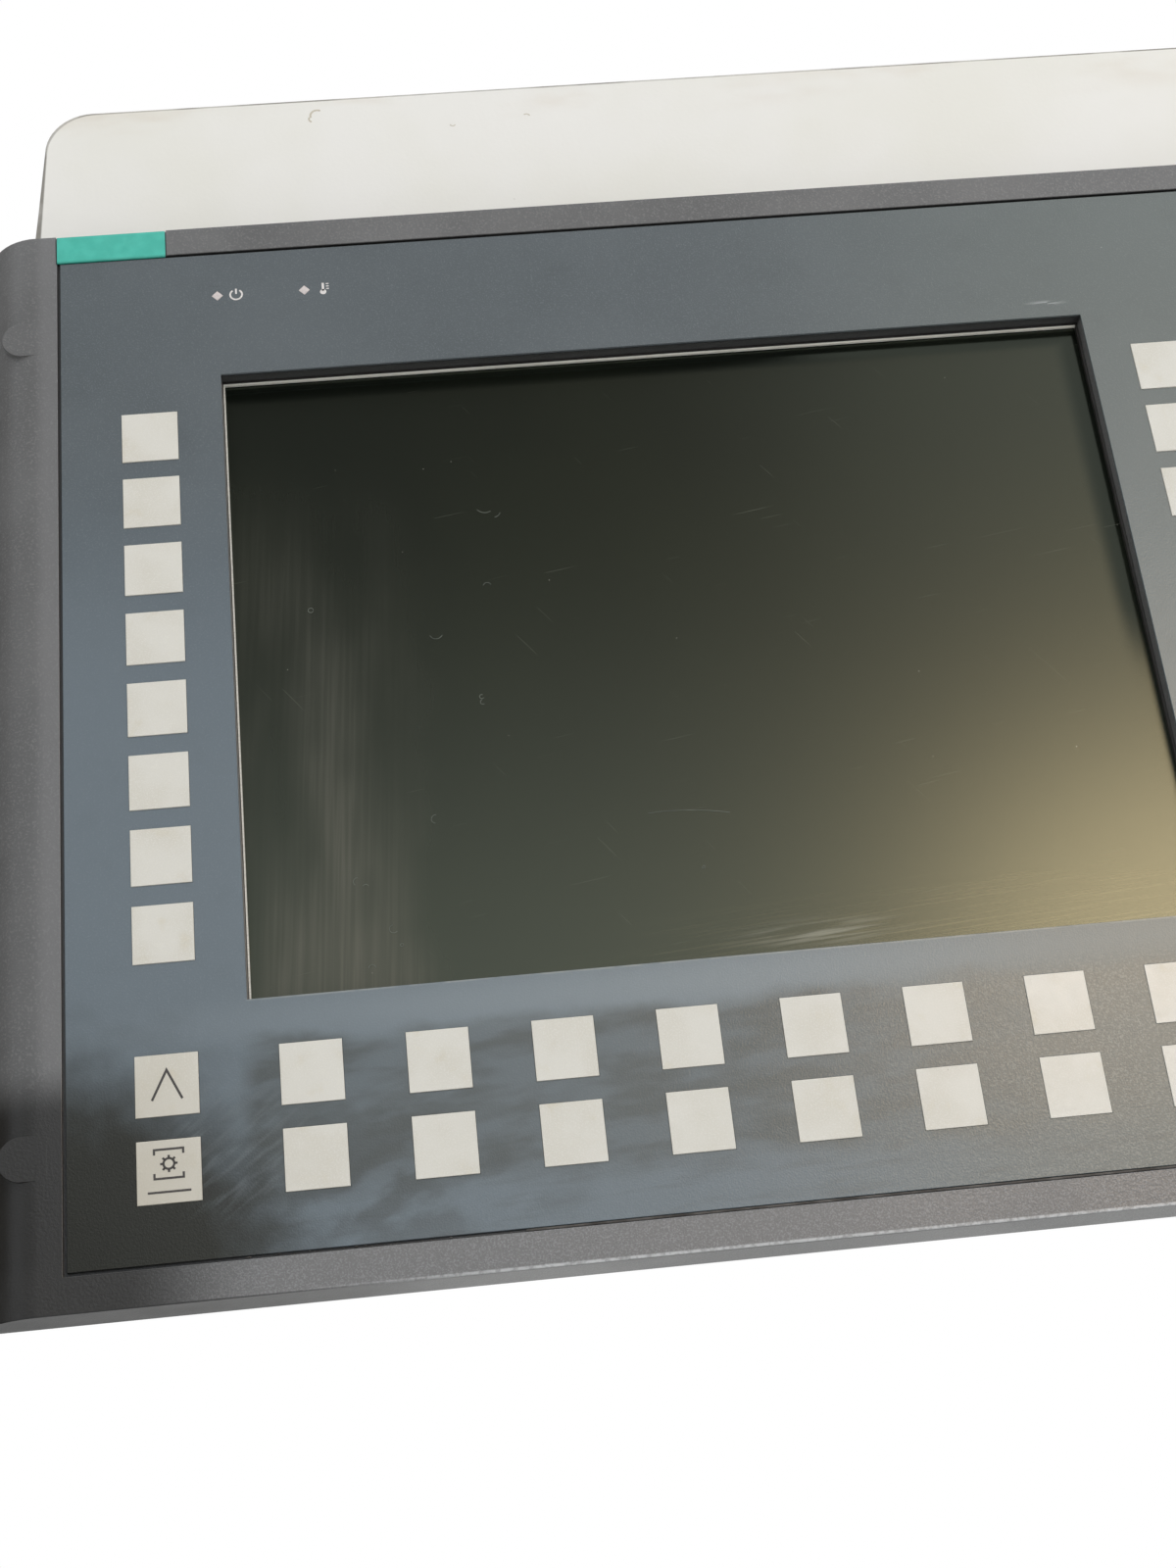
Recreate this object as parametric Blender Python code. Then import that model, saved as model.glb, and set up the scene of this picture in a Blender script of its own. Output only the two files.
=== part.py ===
"""Operator panel: keys around a recessed display, on a pale mounting plate.

Metres, +Z up, the front faces -Y. The origin is the middle of the rear face of
the upstand, the strip of the mounting plate that stands up above the bezel.
Depths are counted from the bezel's front plane, towards the back.
"""
import math

import bmesh
import bpy

# Bezel
BEZEL_WIDTH = 0.407
BEZEL_HEIGHT = 0.310
BEZEL_DEPTH = 0.016
RAIL_WIDTH = 0.02135
STRIP_HEIGHT = 0.00885
FLANK_RADIUS = 0.0155
FLANK_LAND = 0.0005
EDGE_ROUND = 0.0008
FRONT_WALL = 0.003
SIDE_RIM = 0.0255
TOP_RIM = 0.013

# Front foil
GROOVE_WIDTH = 0.0009
FOIL_SET_BACK = 0.0002
FOIL_THICK = 0.0007

# Screen
SCREEN_WIDTH = 0.249
SCREEN_HEIGHT = 0.1855
SCREEN_RISE = 0.01095
SCREEN_SHIFT = -0.012
FRAME_LIP_SIDE = 0.0006
FRAME_LIP_TOP = 0.0011
FRAME_MARGIN = 0.0055
FRAME_SHEET = 0.0008
PANE_THICK = 0.002
BACKLIGHT_THICK = 0.0075

# Keys
KEY_SIZE = 0.0155
KEY_EDGE = 0.00015
KEY_PAD_THICK = 0.0006
KEY_STEM = 0.009
KEY_TRAVEL = 0.0005
PRESS_CLEARANCE = 0.00015
COLUMN_KEYS = 8
COLUMN_PITCH = 0.021
COLUMN_SHARE = 0.4436
ROW_KEYS = 8
ROW_KEY_PITCH = 0.03125
ROW_PITCH = 0.0214
ROW_SHARE = 0.4779
DOME_DIAMETER = 0.0076
DOME_TOP = 0.0046
DOME_HEIGHT = 0.0004
DOME_SHEET_THICK = 0.0006
KEY_BOARD_THICK = 0.0016
KEY_BOARD_PLAY = 0.0005

# Indicator lamps
INDICATOR_DIAGONAL = 0.0032
INDICATOR_SHARE = 0.636
INDICATOR_SPACING = 0.025
GUIDE_BAR_HEIGHT = 0.006
GUIDE_BAR_THICK = 0.0012
GUIDE_BAR_END = 0.004
LAMP_SIZE = 0.002

# Badge
BADGE_WIDTH = 0.0312
BADGE_HEIGHT = STRIP_HEIGHT + GROOVE_WIDTH
BADGE_THICK = 0.0006
BADGE_PROUD = 0.00015

# Mounting screws and the plugs that cover them
PLUG_DIAMETER = 0.0105
PLUG_LENGTH = 0.006
PLUG_EDGE = 0.0003
PLUG_INSET = 0.0115
PLUG_SPACING = 0.237
PLUG_RISE = 0.0015
SCREW_HEAD_DIAMETER = 0.007
SCREW_HEAD_HEIGHT = 0.0026
SCREW_SHANK_DIAMETER = 0.004
SCREW_SOCKET_DIAMETER = 0.0034
SCREW_SOCKET_DEPTH = 0.0015
SCREW_TIP_SETBACK = 0.0006

# Gasket and mounting plate
GASKET_THICK = 0.0012
GASKET_INSET = 0.0022
PLATE_THICK = 0.003
PLATE_INSET = 0.003
PLATE_EDGE = 0.0015
PLATE_CORNER = 0.003
CUTOUT_CLEARANCE = 0.002
UPSTAND_HEIGHT = 0.0605
UPSTAND_INSET = 0.0115
UPSTAND_DRAW_IN = 0.00375
UPSTAND_CORNER = 0.0145

# Rear housing and what it holds
HOUSING_DEPTH = 0.043
HOUSING_SHEET = 0.0012
HOUSING_CORNER = 0.004
HOUSING_BEND = 0.0012
VENT_COUNT = 9
VENT_PITCH = 0.009
VENT_WIDTH = 0.004
VENT_LENGTH = 0.060
VENT_END_RADIUS = 0.0016
VENT_RISE = 0.075
SUPPORT_THICK = 0.0012
STANDOFF_DIAMETER = 0.006
STANDOFF_HEIGHT = 0.0095
STANDOFF_INSET = 0.005
BOARD_THICK = 0.0016
BOARD_EDGE_GAP = 0.003
INTERFACE_SIDE_GAP = 0.0595
INTERFACE_BOARD_WIDTH = 0.150
INTERFACE_BOARD_HEIGHT = 0.095
POWER_PORT_OFFSET = -0.045
POWER_PORT_WIDTH = 0.020
DATA_PORT_OFFSET = 0.010
DATA_PORT_WIDTH = 0.032
PORT_HEIGHT = 0.011
PORT_LENGTH = 0.014
PORT_CLEARANCE = 0.0005
PROCESSOR_SIZE = 0.028
PROCESSOR_HEIGHT = 0.003
INVERTER_SIDE_GAP = 0.0265
INVERTER_Z_OFFSET = 0.010
INVERTER_WIDTH = 0.046
INVERTER_HEIGHT = 0.110
TRANSFORMER_WIDTH = 0.018
TRANSFORMER_LENGTH = 0.026
TRANSFORMER_HEIGHT = 0.012
RIBBON_WIDTH = 0.040
RIBBON_THICK = 0.001
RIBBON_PLUG_HEIGHT = 0.005
RIBBON_PLUG_LENGTH = 0.003
RIBBON_START_DROP = 0.026
RIBBON_STEP = 0.008
RIBBON_SLOT_CLEARANCE = 0.0012

# Clearances, overlaps for cuts and joins, and roundness
GAP = 0.0003
OVERSHOOT = 0.001
JOIN_OVERLAP = 0.0002
CORNER_STEPS = 6
FLANK_STEPS = 12
ROUND_SIDES = 24
VENT_STEPS = 2
DOME_SIDES = 10
SMOOTH_ANGLE = math.radians(35)

# Depths, worked out from front to back
FOIL_FRONT = FOIL_SET_BACK
FOIL_BACK = FOIL_FRONT + FOIL_THICK
WALL_FRONT = FOIL_BACK + GAP
WALL_BACK = WALL_FRONT + FRONT_WALL
KEY_PAD_BACK = WALL_FRONT - KEY_TRAVEL - PRESS_CLEARANCE
KEY_FRONT = KEY_PAD_BACK - KEY_PAD_THICK
DOME_SHEET_FRONT = WALL_BACK + GAP
DOME_SHEET_BACK = DOME_SHEET_FRONT + DOME_SHEET_THICK
KEY_STEM_BACK = DOME_SHEET_FRONT - DOME_HEIGHT - GAP - KEY_TRAVEL
KEY_BOARD_FRONT = DOME_SHEET_BACK + GAP
KEY_BOARD_BACK = KEY_BOARD_FRONT + KEY_BOARD_THICK
FRAME_FRONT = WALL_BACK + GAP
PANE_FRONT = FRAME_FRONT + FRAME_SHEET + GAP
PANE_BACK = PANE_FRONT + PANE_THICK
BACKLIGHT_FRONT = PANE_BACK + GAP
BACKLIGHT_BACK = BACKLIGHT_FRONT + BACKLIGHT_THICK
FRAME_BACK = BACKLIGHT_BACK + GAP
SUPPORT_FRONT = FRAME_BACK + GAP
SUPPORT_BACK = SUPPORT_FRONT + SUPPORT_THICK
BOARD_FRONT = SUPPORT_BACK + STANDOFF_HEIGHT + GAP
BOARD_BACK = BOARD_FRONT + BOARD_THICK
HOUSING_FRONT = KEY_BOARD_BACK + GAP
HOUSING_BACK = HOUSING_FRONT + HOUSING_DEPTH
GASKET_FRONT = BEZEL_DEPTH + GAP
GASKET_BACK = GASKET_FRONT + GASKET_THICK
PLATE_FRONT = GASKET_BACK + GAP
PLATE_BACK = PLATE_FRONT + PLATE_THICK
GUIDE_BAR_FRONT = WALL_BACK - GUIDE_BAR_THICK
SCREW_HEAD_FRONT = PLUG_LENGTH + 2 * GAP
SCREW_HEAD_BACK = SCREW_HEAD_FRONT + SCREW_HEAD_HEIGHT
SCREW_TIP = PLATE_BACK - SCREW_TIP_SETBACK

# Heights, worked out from the top down
PLATE_TOP = UPSTAND_HEIGHT / 2
BEZEL_TOP = -UPSTAND_HEIGHT / 2
BEZEL_BOTTOM = BEZEL_TOP - BEZEL_HEIGHT
BEZEL_MID = (BEZEL_TOP + BEZEL_BOTTOM) / 2
SCREEN_MID = BEZEL_MID + SCREEN_RISE
SCREEN_TOP = SCREEN_MID + SCREEN_HEIGHT / 2
SCREEN_BOTTOM = SCREEN_MID - SCREEN_HEIGHT / 2
RECESS_TOP = BEZEL_TOP - STRIP_HEIGHT
RECESS_BOTTOM = BEZEL_BOTTOM + STRIP_HEIGHT
ROWS_MID = SCREEN_BOTTOM - ROW_SHARE * (SCREEN_BOTTOM - RECESS_BOTTOM)
INDICATOR_Z = SCREEN_TOP + INDICATOR_SHARE * (RECESS_TOP - SCREEN_TOP)
PLUG_MID = BEZEL_MID + PLUG_RISE

# Outlines that several pieces share
RECESS_WIDTH = BEZEL_WIDTH - 2 * RAIL_WIDTH
RECESS_HEIGHT = BEZEL_HEIGHT - 2 * STRIP_HEIGHT
LEFT_BAND = RECESS_WIDTH / 2 + SCREEN_SHIFT - SCREEN_WIDTH / 2
COLUMN_OFFSET = SCREEN_WIDTH / 2 + COLUMN_SHARE * LEFT_BAND
INDICATOR_X = SCREEN_SHIFT - SCREEN_WIDTH / 2
CAVITY_WIDTH = BEZEL_WIDTH - 2 * SIDE_RIM
CAVITY_HEIGHT = BEZEL_HEIGHT - 2 * TOP_RIM
HOUSING_WIDTH = CAVITY_WIDTH - 2 * GAP
HOUSING_HEIGHT = CAVITY_HEIGHT - 2 * GAP
HOUSING_INNER_WIDTH = HOUSING_WIDTH - 2 * HOUSING_SHEET
HOUSING_INNER_HEIGHT = HOUSING_HEIGHT - 2 * HOUSING_SHEET
HOUSING_FLOOR = BEZEL_MID - HOUSING_INNER_HEIGHT / 2
FRAME_WIDTH = SCREEN_WIDTH + 2 * FRAME_MARGIN
FRAME_HEIGHT = SCREEN_HEIGHT + 2 * FRAME_MARGIN
FRAME_INNER_WIDTH = FRAME_WIDTH - 2 * FRAME_SHEET
FRAME_INNER_HEIGHT = FRAME_HEIGHT - 2 * FRAME_SHEET
CUTOUT_WIDTH = HOUSING_WIDTH + 2 * CUTOUT_CLEARANCE
CUTOUT_HEIGHT = HOUSING_HEIGHT + 2 * CUTOUT_CLEARANCE
INTERFACE_BOARD_X = (INTERFACE_BOARD_WIDTH - HOUSING_INNER_WIDTH) / 2 + INTERFACE_SIDE_GAP
INTERFACE_BOARD_Z = HOUSING_FLOOR + BOARD_EDGE_GAP + INTERFACE_BOARD_HEIGHT / 2
INVERTER_X = (HOUSING_INNER_WIDTH - INVERTER_WIDTH) / 2 - INVERTER_SIDE_GAP
INVERTER_Z = BEZEL_MID + INVERTER_Z_OFFSET
RIBBON_X = INTERFACE_BOARD_X
RIBBON_START_Z = SCREEN_BOTTOM - RIBBON_START_DROP
RIBBON_END_Z = RIBBON_START_Z + RIBBON_STEP


def clear_scene():
    for obj in list(bpy.data.objects):
        bpy.data.objects.remove(obj, do_unlink=True)


def world_y(depth):
    return depth - PLATE_BACK


def material(name, colour, roughness, metallic=0.0):
    mat = bpy.data.materials.new(name)
    mat.use_nodes = True
    shader = mat.node_tree.nodes["Principled BSDF"]
    shader.inputs["Base Color"].default_value = (*colour, 1.0)
    shader.inputs["Roughness"].default_value = roughness
    shader.inputs["Metallic"].default_value = metallic
    return mat


# Outlines in the XZ plane, counter-clockwise as seen from the front

def rectangle(x, z, width, height):
    w = width / 2
    h = height / 2
    return [(x - w, z - h), (x + w, z - h), (x + w, z + h), (x - w, z + h)]


def arc(x, z, radius, start, end, steps):
    turns = [start + (end - start) * i / steps for i in range(steps + 1)]
    return [(x + radius * math.cos(a), z + radius * math.sin(a)) for a in turns]


def rounded_rectangle(x, z, width, height, radius, steps=CORNER_STEPS):
    w = width / 2 - radius
    h = height / 2 - radius
    quarter = math.pi / 2
    corners = [(x + w, z + h), (x - w, z + h), (x - w, z - h), (x + w, z - h)]
    points = []
    for i, (cx, cz) in enumerate(corners):
        points += arc(cx, cz, radius, i * quarter, (i + 1) * quarter, steps)
    return points


def circle(x, z, diameter, sides):
    step = 2 * math.pi / sides
    return [(x + diameter / 2 * math.cos(i * step), z + diameter / 2 * math.sin(i * step))
            for i in range(sides)]


def diamond(x, z, diagonal):
    r = diagonal / 2
    return [(x, z - r), (x + r, z), (x, z + r), (x - r, z)]


# Solids added to a bmesh

def add_loft(bm, rings):
    """Closed solid through rings of as many 3-D points each, with flat ends."""
    loops = [[bm.verts.new(p) for p in ring] for ring in rings]
    count = len(loops[0])
    for first, second in zip(loops, loops[1:]):
        for i in range(count):
            j = (i + 1) % count
            bm.faces.new((first[i], first[j], second[j], second[i]))
    bm.faces.new(loops[0][::-1])
    bm.faces.new(loops[-1])


def add_prism(bm, outline, front, back):
    add_loft(bm, [[(x, world_y(d), z) for x, z in outline] for d in (front, back)])


def add_turned(bm, profile, x, z, sides):
    """Solid of revolution along the depth: profile holds (diameter, depth) pairs."""
    rings = [[(px, world_y(d), pz) for px, pz in circle(x, z, diameter, sides)]
             for diameter, d in profile]
    add_loft(bm, rings)


# Objects

def finish(name, bm, mat=None, smooth=False):
    bmesh.ops.recalc_face_normals(bm, faces=bm.faces)
    mesh = bpy.data.meshes.new(name)
    bm.to_mesh(mesh)
    bm.free()
    if smooth:
        mesh.shade_smooth()
        mesh.set_sharp_from_angle(angle=SMOOTH_ANGLE)
    if mat is not None:
        mesh.materials.append(mat)
    return place(name, mesh)


def place(name, mesh):
    obj = bpy.data.objects.new(name, mesh)
    bpy.context.scene.collection.objects.link(obj)
    return obj


def slab(name, outline, front, back, mat):
    bm = bmesh.new()
    add_prism(bm, outline, front, back)
    return finish(name, bm, mat)


def tool(name, prisms=(), turned=()):
    """Hidden solids for a cut or a join: prisms and turned shapes that stay apart."""
    bm = bmesh.new()
    for outline, front, back in prisms:
        add_prism(bm, outline, front, back)
    for profile, x, z, sides in turned:
        add_turned(bm, profile, x, z, sides)
    obj = finish(name, bm)
    obj.hide_render = True
    obj.display_type = "WIRE"
    return obj


def combine(obj, other, operation):
    modifier = obj.modifiers.new(other.name, "BOOLEAN")
    modifier.operation = operation
    modifier.solver = "EXACT"
    modifier.object = other


def cut(obj, other):
    combine(obj, other, "DIFFERENCE")


def join(obj, other):
    combine(obj, other, "UNION")


# Places that repeat

def row_z(index):
    return ROWS_MID + (0.5 - index) * ROW_PITCH


def key_places():
    """Name, x and z of every key."""
    places = []
    for side, sign in (("left", -1), ("right", 1)):
        x = SCREEN_SHIFT + sign * COLUMN_OFFSET
        for i in range(COLUMN_KEYS):
            z = SCREEN_MID + ((COLUMN_KEYS - 1) / 2 - i) * COLUMN_PITCH
            places.append((f"{side}_key_{i + 1}", x, z))
        for i in range(2):
            places.append((f"lower_{side}_key_{i + 1}", x, row_z(i)))
    for i, row in enumerate(("upper", "lower")):
        for j in range(ROW_KEYS):
            x = SCREEN_SHIFT + (j - (ROW_KEYS - 1) / 2) * ROW_KEY_PITCH
            places.append((f"{row}_row_key_{j + 1}", x, row_z(i)))
    return places


def plug_places():
    """Name ending, x and z of every mounting screw."""
    x = BEZEL_WIDTH / 2 - PLUG_INSET
    return [(f"{height}_{side}", sx * x, PLUG_MID + sz * PLUG_SPACING / 2)
            for height, sz in (("upper", 1), ("lower", -1))
            for side, sx in (("left", -1), ("right", 1))]


def indicator_places():
    return [(INDICATOR_X + i * INDICATOR_SPACING, INDICATOR_Z) for i in range(2)]


def standoff_places(x, z, width, height):
    w = width / 2 - STANDOFF_INSET
    h = height / 2 - STANDOFF_INSET
    return [(x + sx * w, z + sz * h) for sx in (-1, 1) for sz in (-1, 1)]


def indicator_windows(front, back):
    clear = 2 * math.sqrt(2) * GAP
    return [(diamond(x, z, INDICATOR_DIAGONAL + clear), front, back) for x, z in indicator_places()]


# Pieces

def bezel_blank():
    """Frame blank with rounded flanks: its profile in X and depth, extruded in Z."""
    half = BEZEL_WIDTH / 2
    radius = min(FLANK_RADIUS, BEZEL_DEPTH - FLANK_LAND)
    quarter = math.pi / 2
    left = arc(-half + radius, radius, radius, math.pi, math.pi + quarter, FLANK_STEPS)
    right = arc(half - radius, radius, radius, math.pi + quarter, 2 * math.pi, FLANK_STEPS)
    profile = [(-half, BEZEL_DEPTH)] + left + right + [(half, BEZEL_DEPTH)]
    bm = bmesh.new()
    add_loft(bm, [[(x, world_y(d), z) for x, d in profile] for z in (BEZEL_BOTTOM, BEZEL_TOP)])
    back = world_y(BEZEL_DEPTH)
    ends = [e for e in bm.edges
            if abs(e.verts[0].co.z - e.verts[1].co.z) < GAP
            and min(v.co.y for v in e.verts) < back - GAP]
    bmesh.ops.bevel(bm, geom=ends, offset=EDGE_ROUND, segments=2, profile=0.5, affect="EDGES")
    return bm


def badge_left():
    return -BEZEL_WIDTH / 2 + RAIL_WIDTH


def make_bezel():
    mat = material("bezel_plastic", (0.125, 0.119, 0.112), 0.55)
    bezel = finish("front_bezel", bezel_blank(), mat, smooth=True)
    recess = rectangle(0, BEZEL_MID, RECESS_WIDTH, RECESS_HEIGHT)
    cut(bezel, tool("foil_recess", [(recess, -OVERSHOOT, WALL_FRONT)]))
    cavity = rounded_rectangle(0, BEZEL_MID, CAVITY_WIDTH, CAVITY_HEIGHT, HOUSING_CORNER + GAP)
    cut(bezel, tool("bezel_cavity", [(cavity, WALL_BACK, BEZEL_DEPTH + OVERSHOOT)]))
    front = WALL_FRONT - OVERSHOOT
    back = WALL_BACK + OVERSHOOT
    stem_hole = KEY_STEM + 2 * GAP
    openings = [(rectangle(x, z, stem_hole, stem_hole), front, back) for _, x, z in key_places()]
    openings.append((rectangle(SCREEN_SHIFT, SCREEN_MID, SCREEN_WIDTH, SCREEN_HEIGHT), front, back))
    openings += indicator_windows(front, back)
    cut(bezel, tool("bezel_openings", openings))
    pocket = guide_bar_outline(GAP)
    cut(bezel, tool("guide_pocket", [(pocket, GUIDE_BAR_FRONT - GAP, WALL_BACK + OVERSHOOT)]))
    bores = [
        (PLUG_DIAMETER + 2 * GAP, -OVERSHOOT),
        (PLUG_DIAMETER + 2 * GAP, PLUG_LENGTH + GAP),
        (SCREW_HEAD_DIAMETER + 2 * GAP, PLUG_LENGTH + GAP),
        (SCREW_HEAD_DIAMETER + 2 * GAP, SCREW_HEAD_BACK + GAP),
        (SCREW_SHANK_DIAMETER + 2 * GAP, SCREW_HEAD_BACK + GAP),
        (SCREW_SHANK_DIAMETER + 2 * GAP, BEZEL_DEPTH + OVERSHOOT),
    ]
    cut(bezel, tool("screw_bores", turned=[(bores, x, z, ROUND_SIDES) for _, x, z in plug_places()]))
    seat_top = BEZEL_TOP + OVERSHOOT
    seat_bottom = BEZEL_TOP - BADGE_HEIGHT
    seat = rectangle(badge_left() + BADGE_WIDTH / 2, (seat_top + seat_bottom) / 2,
                     BADGE_WIDTH + 2 * GAP, seat_top - seat_bottom)
    cut(bezel, tool("badge_seat", [(seat, -OVERSHOOT, BADGE_THICK - BADGE_PROUD + GAP)]))


def make_foil():
    mat = material("foil_film", (0.127, 0.141, 0.155), 0.42)
    foil_width = RECESS_WIDTH - 2 * GROOVE_WIDTH
    foil_height = RECESS_HEIGHT - 2 * GROOVE_WIDTH
    outline = rectangle(0, BEZEL_MID, foil_width, foil_height)
    foil = slab("front_foil", outline, FOIL_FRONT, FOIL_BACK, mat)
    front = FOIL_FRONT - OVERSHOOT
    back = FOIL_BACK + OVERSHOOT
    window = KEY_SIZE + 2 * GAP
    windows = [(rectangle(x, z, window, window), front, back) for _, x, z in key_places()]
    windows.append((rectangle(SCREEN_SHIFT, SCREEN_MID, SCREEN_WIDTH, SCREEN_HEIGHT), front, back))
    windows += indicator_windows(front, back)
    cut(foil, tool("foil_windows", windows))


def make_keys():
    """Square pads, each with a stem that reaches through the bezel to its dome."""
    def ring(size, depth):
        return [(x, depth - KEY_FRONT, z) for x, z in rectangle(0, 0, size, size)]
    bm = bmesh.new()
    add_loft(bm, [
        ring(KEY_SIZE - 2 * KEY_EDGE, KEY_FRONT),
        ring(KEY_SIZE, KEY_FRONT + KEY_EDGE),
        ring(KEY_SIZE, KEY_PAD_BACK),
        ring(KEY_STEM, KEY_PAD_BACK),
        ring(KEY_STEM, KEY_STEM_BACK),
    ])
    bmesh.ops.recalc_face_normals(bm, faces=bm.faces)
    mesh = bpy.data.meshes.new("key")
    bm.to_mesh(mesh)
    bm.free()
    mesh.materials.append(material("key_film", (0.73, 0.70, 0.63), 0.45))
    for name, x, z in key_places():
        place(name, mesh).location = (x, world_y(KEY_FRONT), z)


def make_key_layers():
    """Snap dome sheet and circuit board, both open in the middle for the display."""
    opening = rectangle(SCREEN_SHIFT, SCREEN_MID, FRAME_WIDTH + 2 * GAP, FRAME_HEIGHT + 2 * GAP)
    width = CAVITY_WIDTH - 2 * KEY_BOARD_PLAY
    height = CAVITY_HEIGHT - 2 * KEY_BOARD_PLAY
    outline = rounded_rectangle(0, BEZEL_MID, width, height, HOUSING_CORNER)

    mat = material("dome_film", (0.55, 0.56, 0.55), 0.5)
    sheet = slab("key_dome_sheet", outline, DOME_SHEET_FRONT, DOME_SHEET_BACK, mat)
    holes = [(opening, DOME_SHEET_FRONT - OVERSHOOT, DOME_SHEET_BACK + OVERSHOOT)]
    lamp_hole = LAMP_SIZE + 2 * GAP
    for x, z in indicator_places():
        holes.append((rectangle(x, z, lamp_hole, lamp_hole),
                      DOME_SHEET_FRONT - OVERSHOOT, DOME_SHEET_BACK + OVERSHOOT))
    cut(sheet, tool("dome_sheet_holes", holes))
    dome = [(DOME_TOP, DOME_SHEET_FRONT - DOME_HEIGHT),
            (DOME_DIAMETER, DOME_SHEET_FRONT),
            (DOME_DIAMETER, DOME_SHEET_FRONT + JOIN_OVERLAP)]
    join(sheet, tool("domes", turned=[(dome, x, z, DOME_SIDES) for _, x, z in key_places()]))

    mat = material("key_board_laminate", (0.03, 0.14, 0.07), 0.5)
    board = slab("key_board", outline, KEY_BOARD_FRONT, KEY_BOARD_BACK, mat)
    cut(board, tool("key_board_opening",
                    [(opening, KEY_BOARD_FRONT - OVERSHOOT, KEY_BOARD_BACK + OVERSHOOT)]))
    lamps = [(rectangle(x, z, LAMP_SIZE, LAMP_SIZE), DOME_SHEET_FRONT, KEY_BOARD_FRONT + JOIN_OVERLAP)
             for x, z in indicator_places()]
    join(board, tool("lamps", lamps))


def guide_bar_outline(clearance):
    middle = INDICATOR_X + INDICATOR_SPACING / 2
    length = INDICATOR_SPACING + 2 * GUIDE_BAR_END
    return rectangle(middle, INDICATOR_Z, length + 2 * clearance, GUIDE_BAR_HEIGHT + 2 * clearance)


def make_light_guide():
    """One clear bar with a diamond pin for each lamp."""
    mat = material("light_guide_acrylic", (0.55, 0.57, 0.55), 0.2)
    guide = slab("indicator_light_guide", guide_bar_outline(0), GUIDE_BAR_FRONT, WALL_BACK, mat)
    pins = [(diamond(x, z, INDICATOR_DIAGONAL), FOIL_FRONT, GUIDE_BAR_FRONT + JOIN_OVERLAP)
            for x, z in indicator_places()]
    join(guide, tool("guide_pins", pins))


def make_badge():
    mat = material("badge_enamel", (0.052, 0.55, 0.41), 0.4)
    outline = rectangle(badge_left() + BADGE_WIDTH / 2, BEZEL_TOP - BADGE_HEIGHT / 2,
                        BADGE_WIDTH, BADGE_HEIGHT - 2 * GAP)
    slab("badge_plate", outline, -BADGE_PROUD, BADGE_THICK - BADGE_PROUD, mat)


def make_plugs_and_screws():
    plug_mat = material("plug_plastic", (0.14, 0.132, 0.124), 0.5)
    screw_mat = material("screw_steel", (0.5, 0.5, 0.49), 0.35, 1.0)
    plug = [
        (PLUG_DIAMETER - 2 * PLUG_EDGE, 0.0),
        (PLUG_DIAMETER, PLUG_EDGE),
        (PLUG_DIAMETER, PLUG_LENGTH),
    ]
    screw = [
        (SCREW_HEAD_DIAMETER, SCREW_HEAD_FRONT),
        (SCREW_HEAD_DIAMETER, SCREW_HEAD_BACK),
        (SCREW_SHANK_DIAMETER, SCREW_HEAD_BACK),
        (SCREW_SHANK_DIAMETER, SCREW_TIP),
    ]
    sockets = []
    for ending, x, z in plug_places():
        bm = bmesh.new()
        add_turned(bm, plug, x, z, ROUND_SIDES)
        finish(f"screw_plug_{ending}", bm, plug_mat, smooth=True)
        bm = bmesh.new()
        add_turned(bm, screw, x, z, ROUND_SIDES)
        sockets.append((finish(f"mounting_screw_{ending}", bm, screw_mat, smooth=True), x, z))
    for obj, x, z in sockets:
        hexagon = circle(x, z, SCREW_SOCKET_DIAMETER, 6)
        cut(obj, tool(f"socket_{obj.name}",
                      [(hexagon, SCREW_HEAD_FRONT - OVERSHOOT, SCREW_HEAD_FRONT + SCREW_SOCKET_DEPTH)]))


def make_display():
    steel = material("display_steel", (0.6, 0.61, 0.58), 0.3, 1.0)
    frame = slab("display_frame", rectangle(SCREEN_SHIFT, SCREEN_MID, FRAME_WIDTH, FRAME_HEIGHT),
                 FRAME_FRONT, FRAME_BACK, steel)
    inner = rectangle(SCREEN_SHIFT, SCREEN_MID, FRAME_INNER_WIDTH, FRAME_INNER_HEIGHT)
    cut(frame, tool("frame_inside", [(inner, FRAME_FRONT + FRAME_SHEET, FRAME_BACK + OVERSHOOT)]))
    window = rectangle(SCREEN_SHIFT, SCREEN_MID, SCREEN_WIDTH - 2 * FRAME_LIP_SIDE,
                       SCREEN_HEIGHT - 2 * FRAME_LIP_TOP)
    cut(frame, tool("frame_window", [(window, FRAME_FRONT - OVERSHOOT, PANE_FRONT)]))
    fill = rectangle(SCREEN_SHIFT, SCREEN_MID, FRAME_INNER_WIDTH - 2 * GAP, FRAME_INNER_HEIGHT - 2 * GAP)
    slab("display_pane", fill, PANE_FRONT, PANE_BACK, material("pane_glass", (0.012, 0.013, 0.011), 0.25))
    slab("backlight_unit", fill, BACKLIGHT_FRONT, BACKLIGHT_BACK,
         material("backlight_casing", (0.72, 0.72, 0.70), 0.5))


def ribbon_centre(depth):
    start = KEY_BOARD_BACK + GAP + RIBBON_PLUG_LENGTH
    end = BOARD_FRONT - GAP - RIBBON_PLUG_LENGTH
    share = (depth - start) / (end - start)
    return RIBBON_START_Z + RIBBON_STEP * (1 - math.cos(math.pi * share)) / 2


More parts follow.
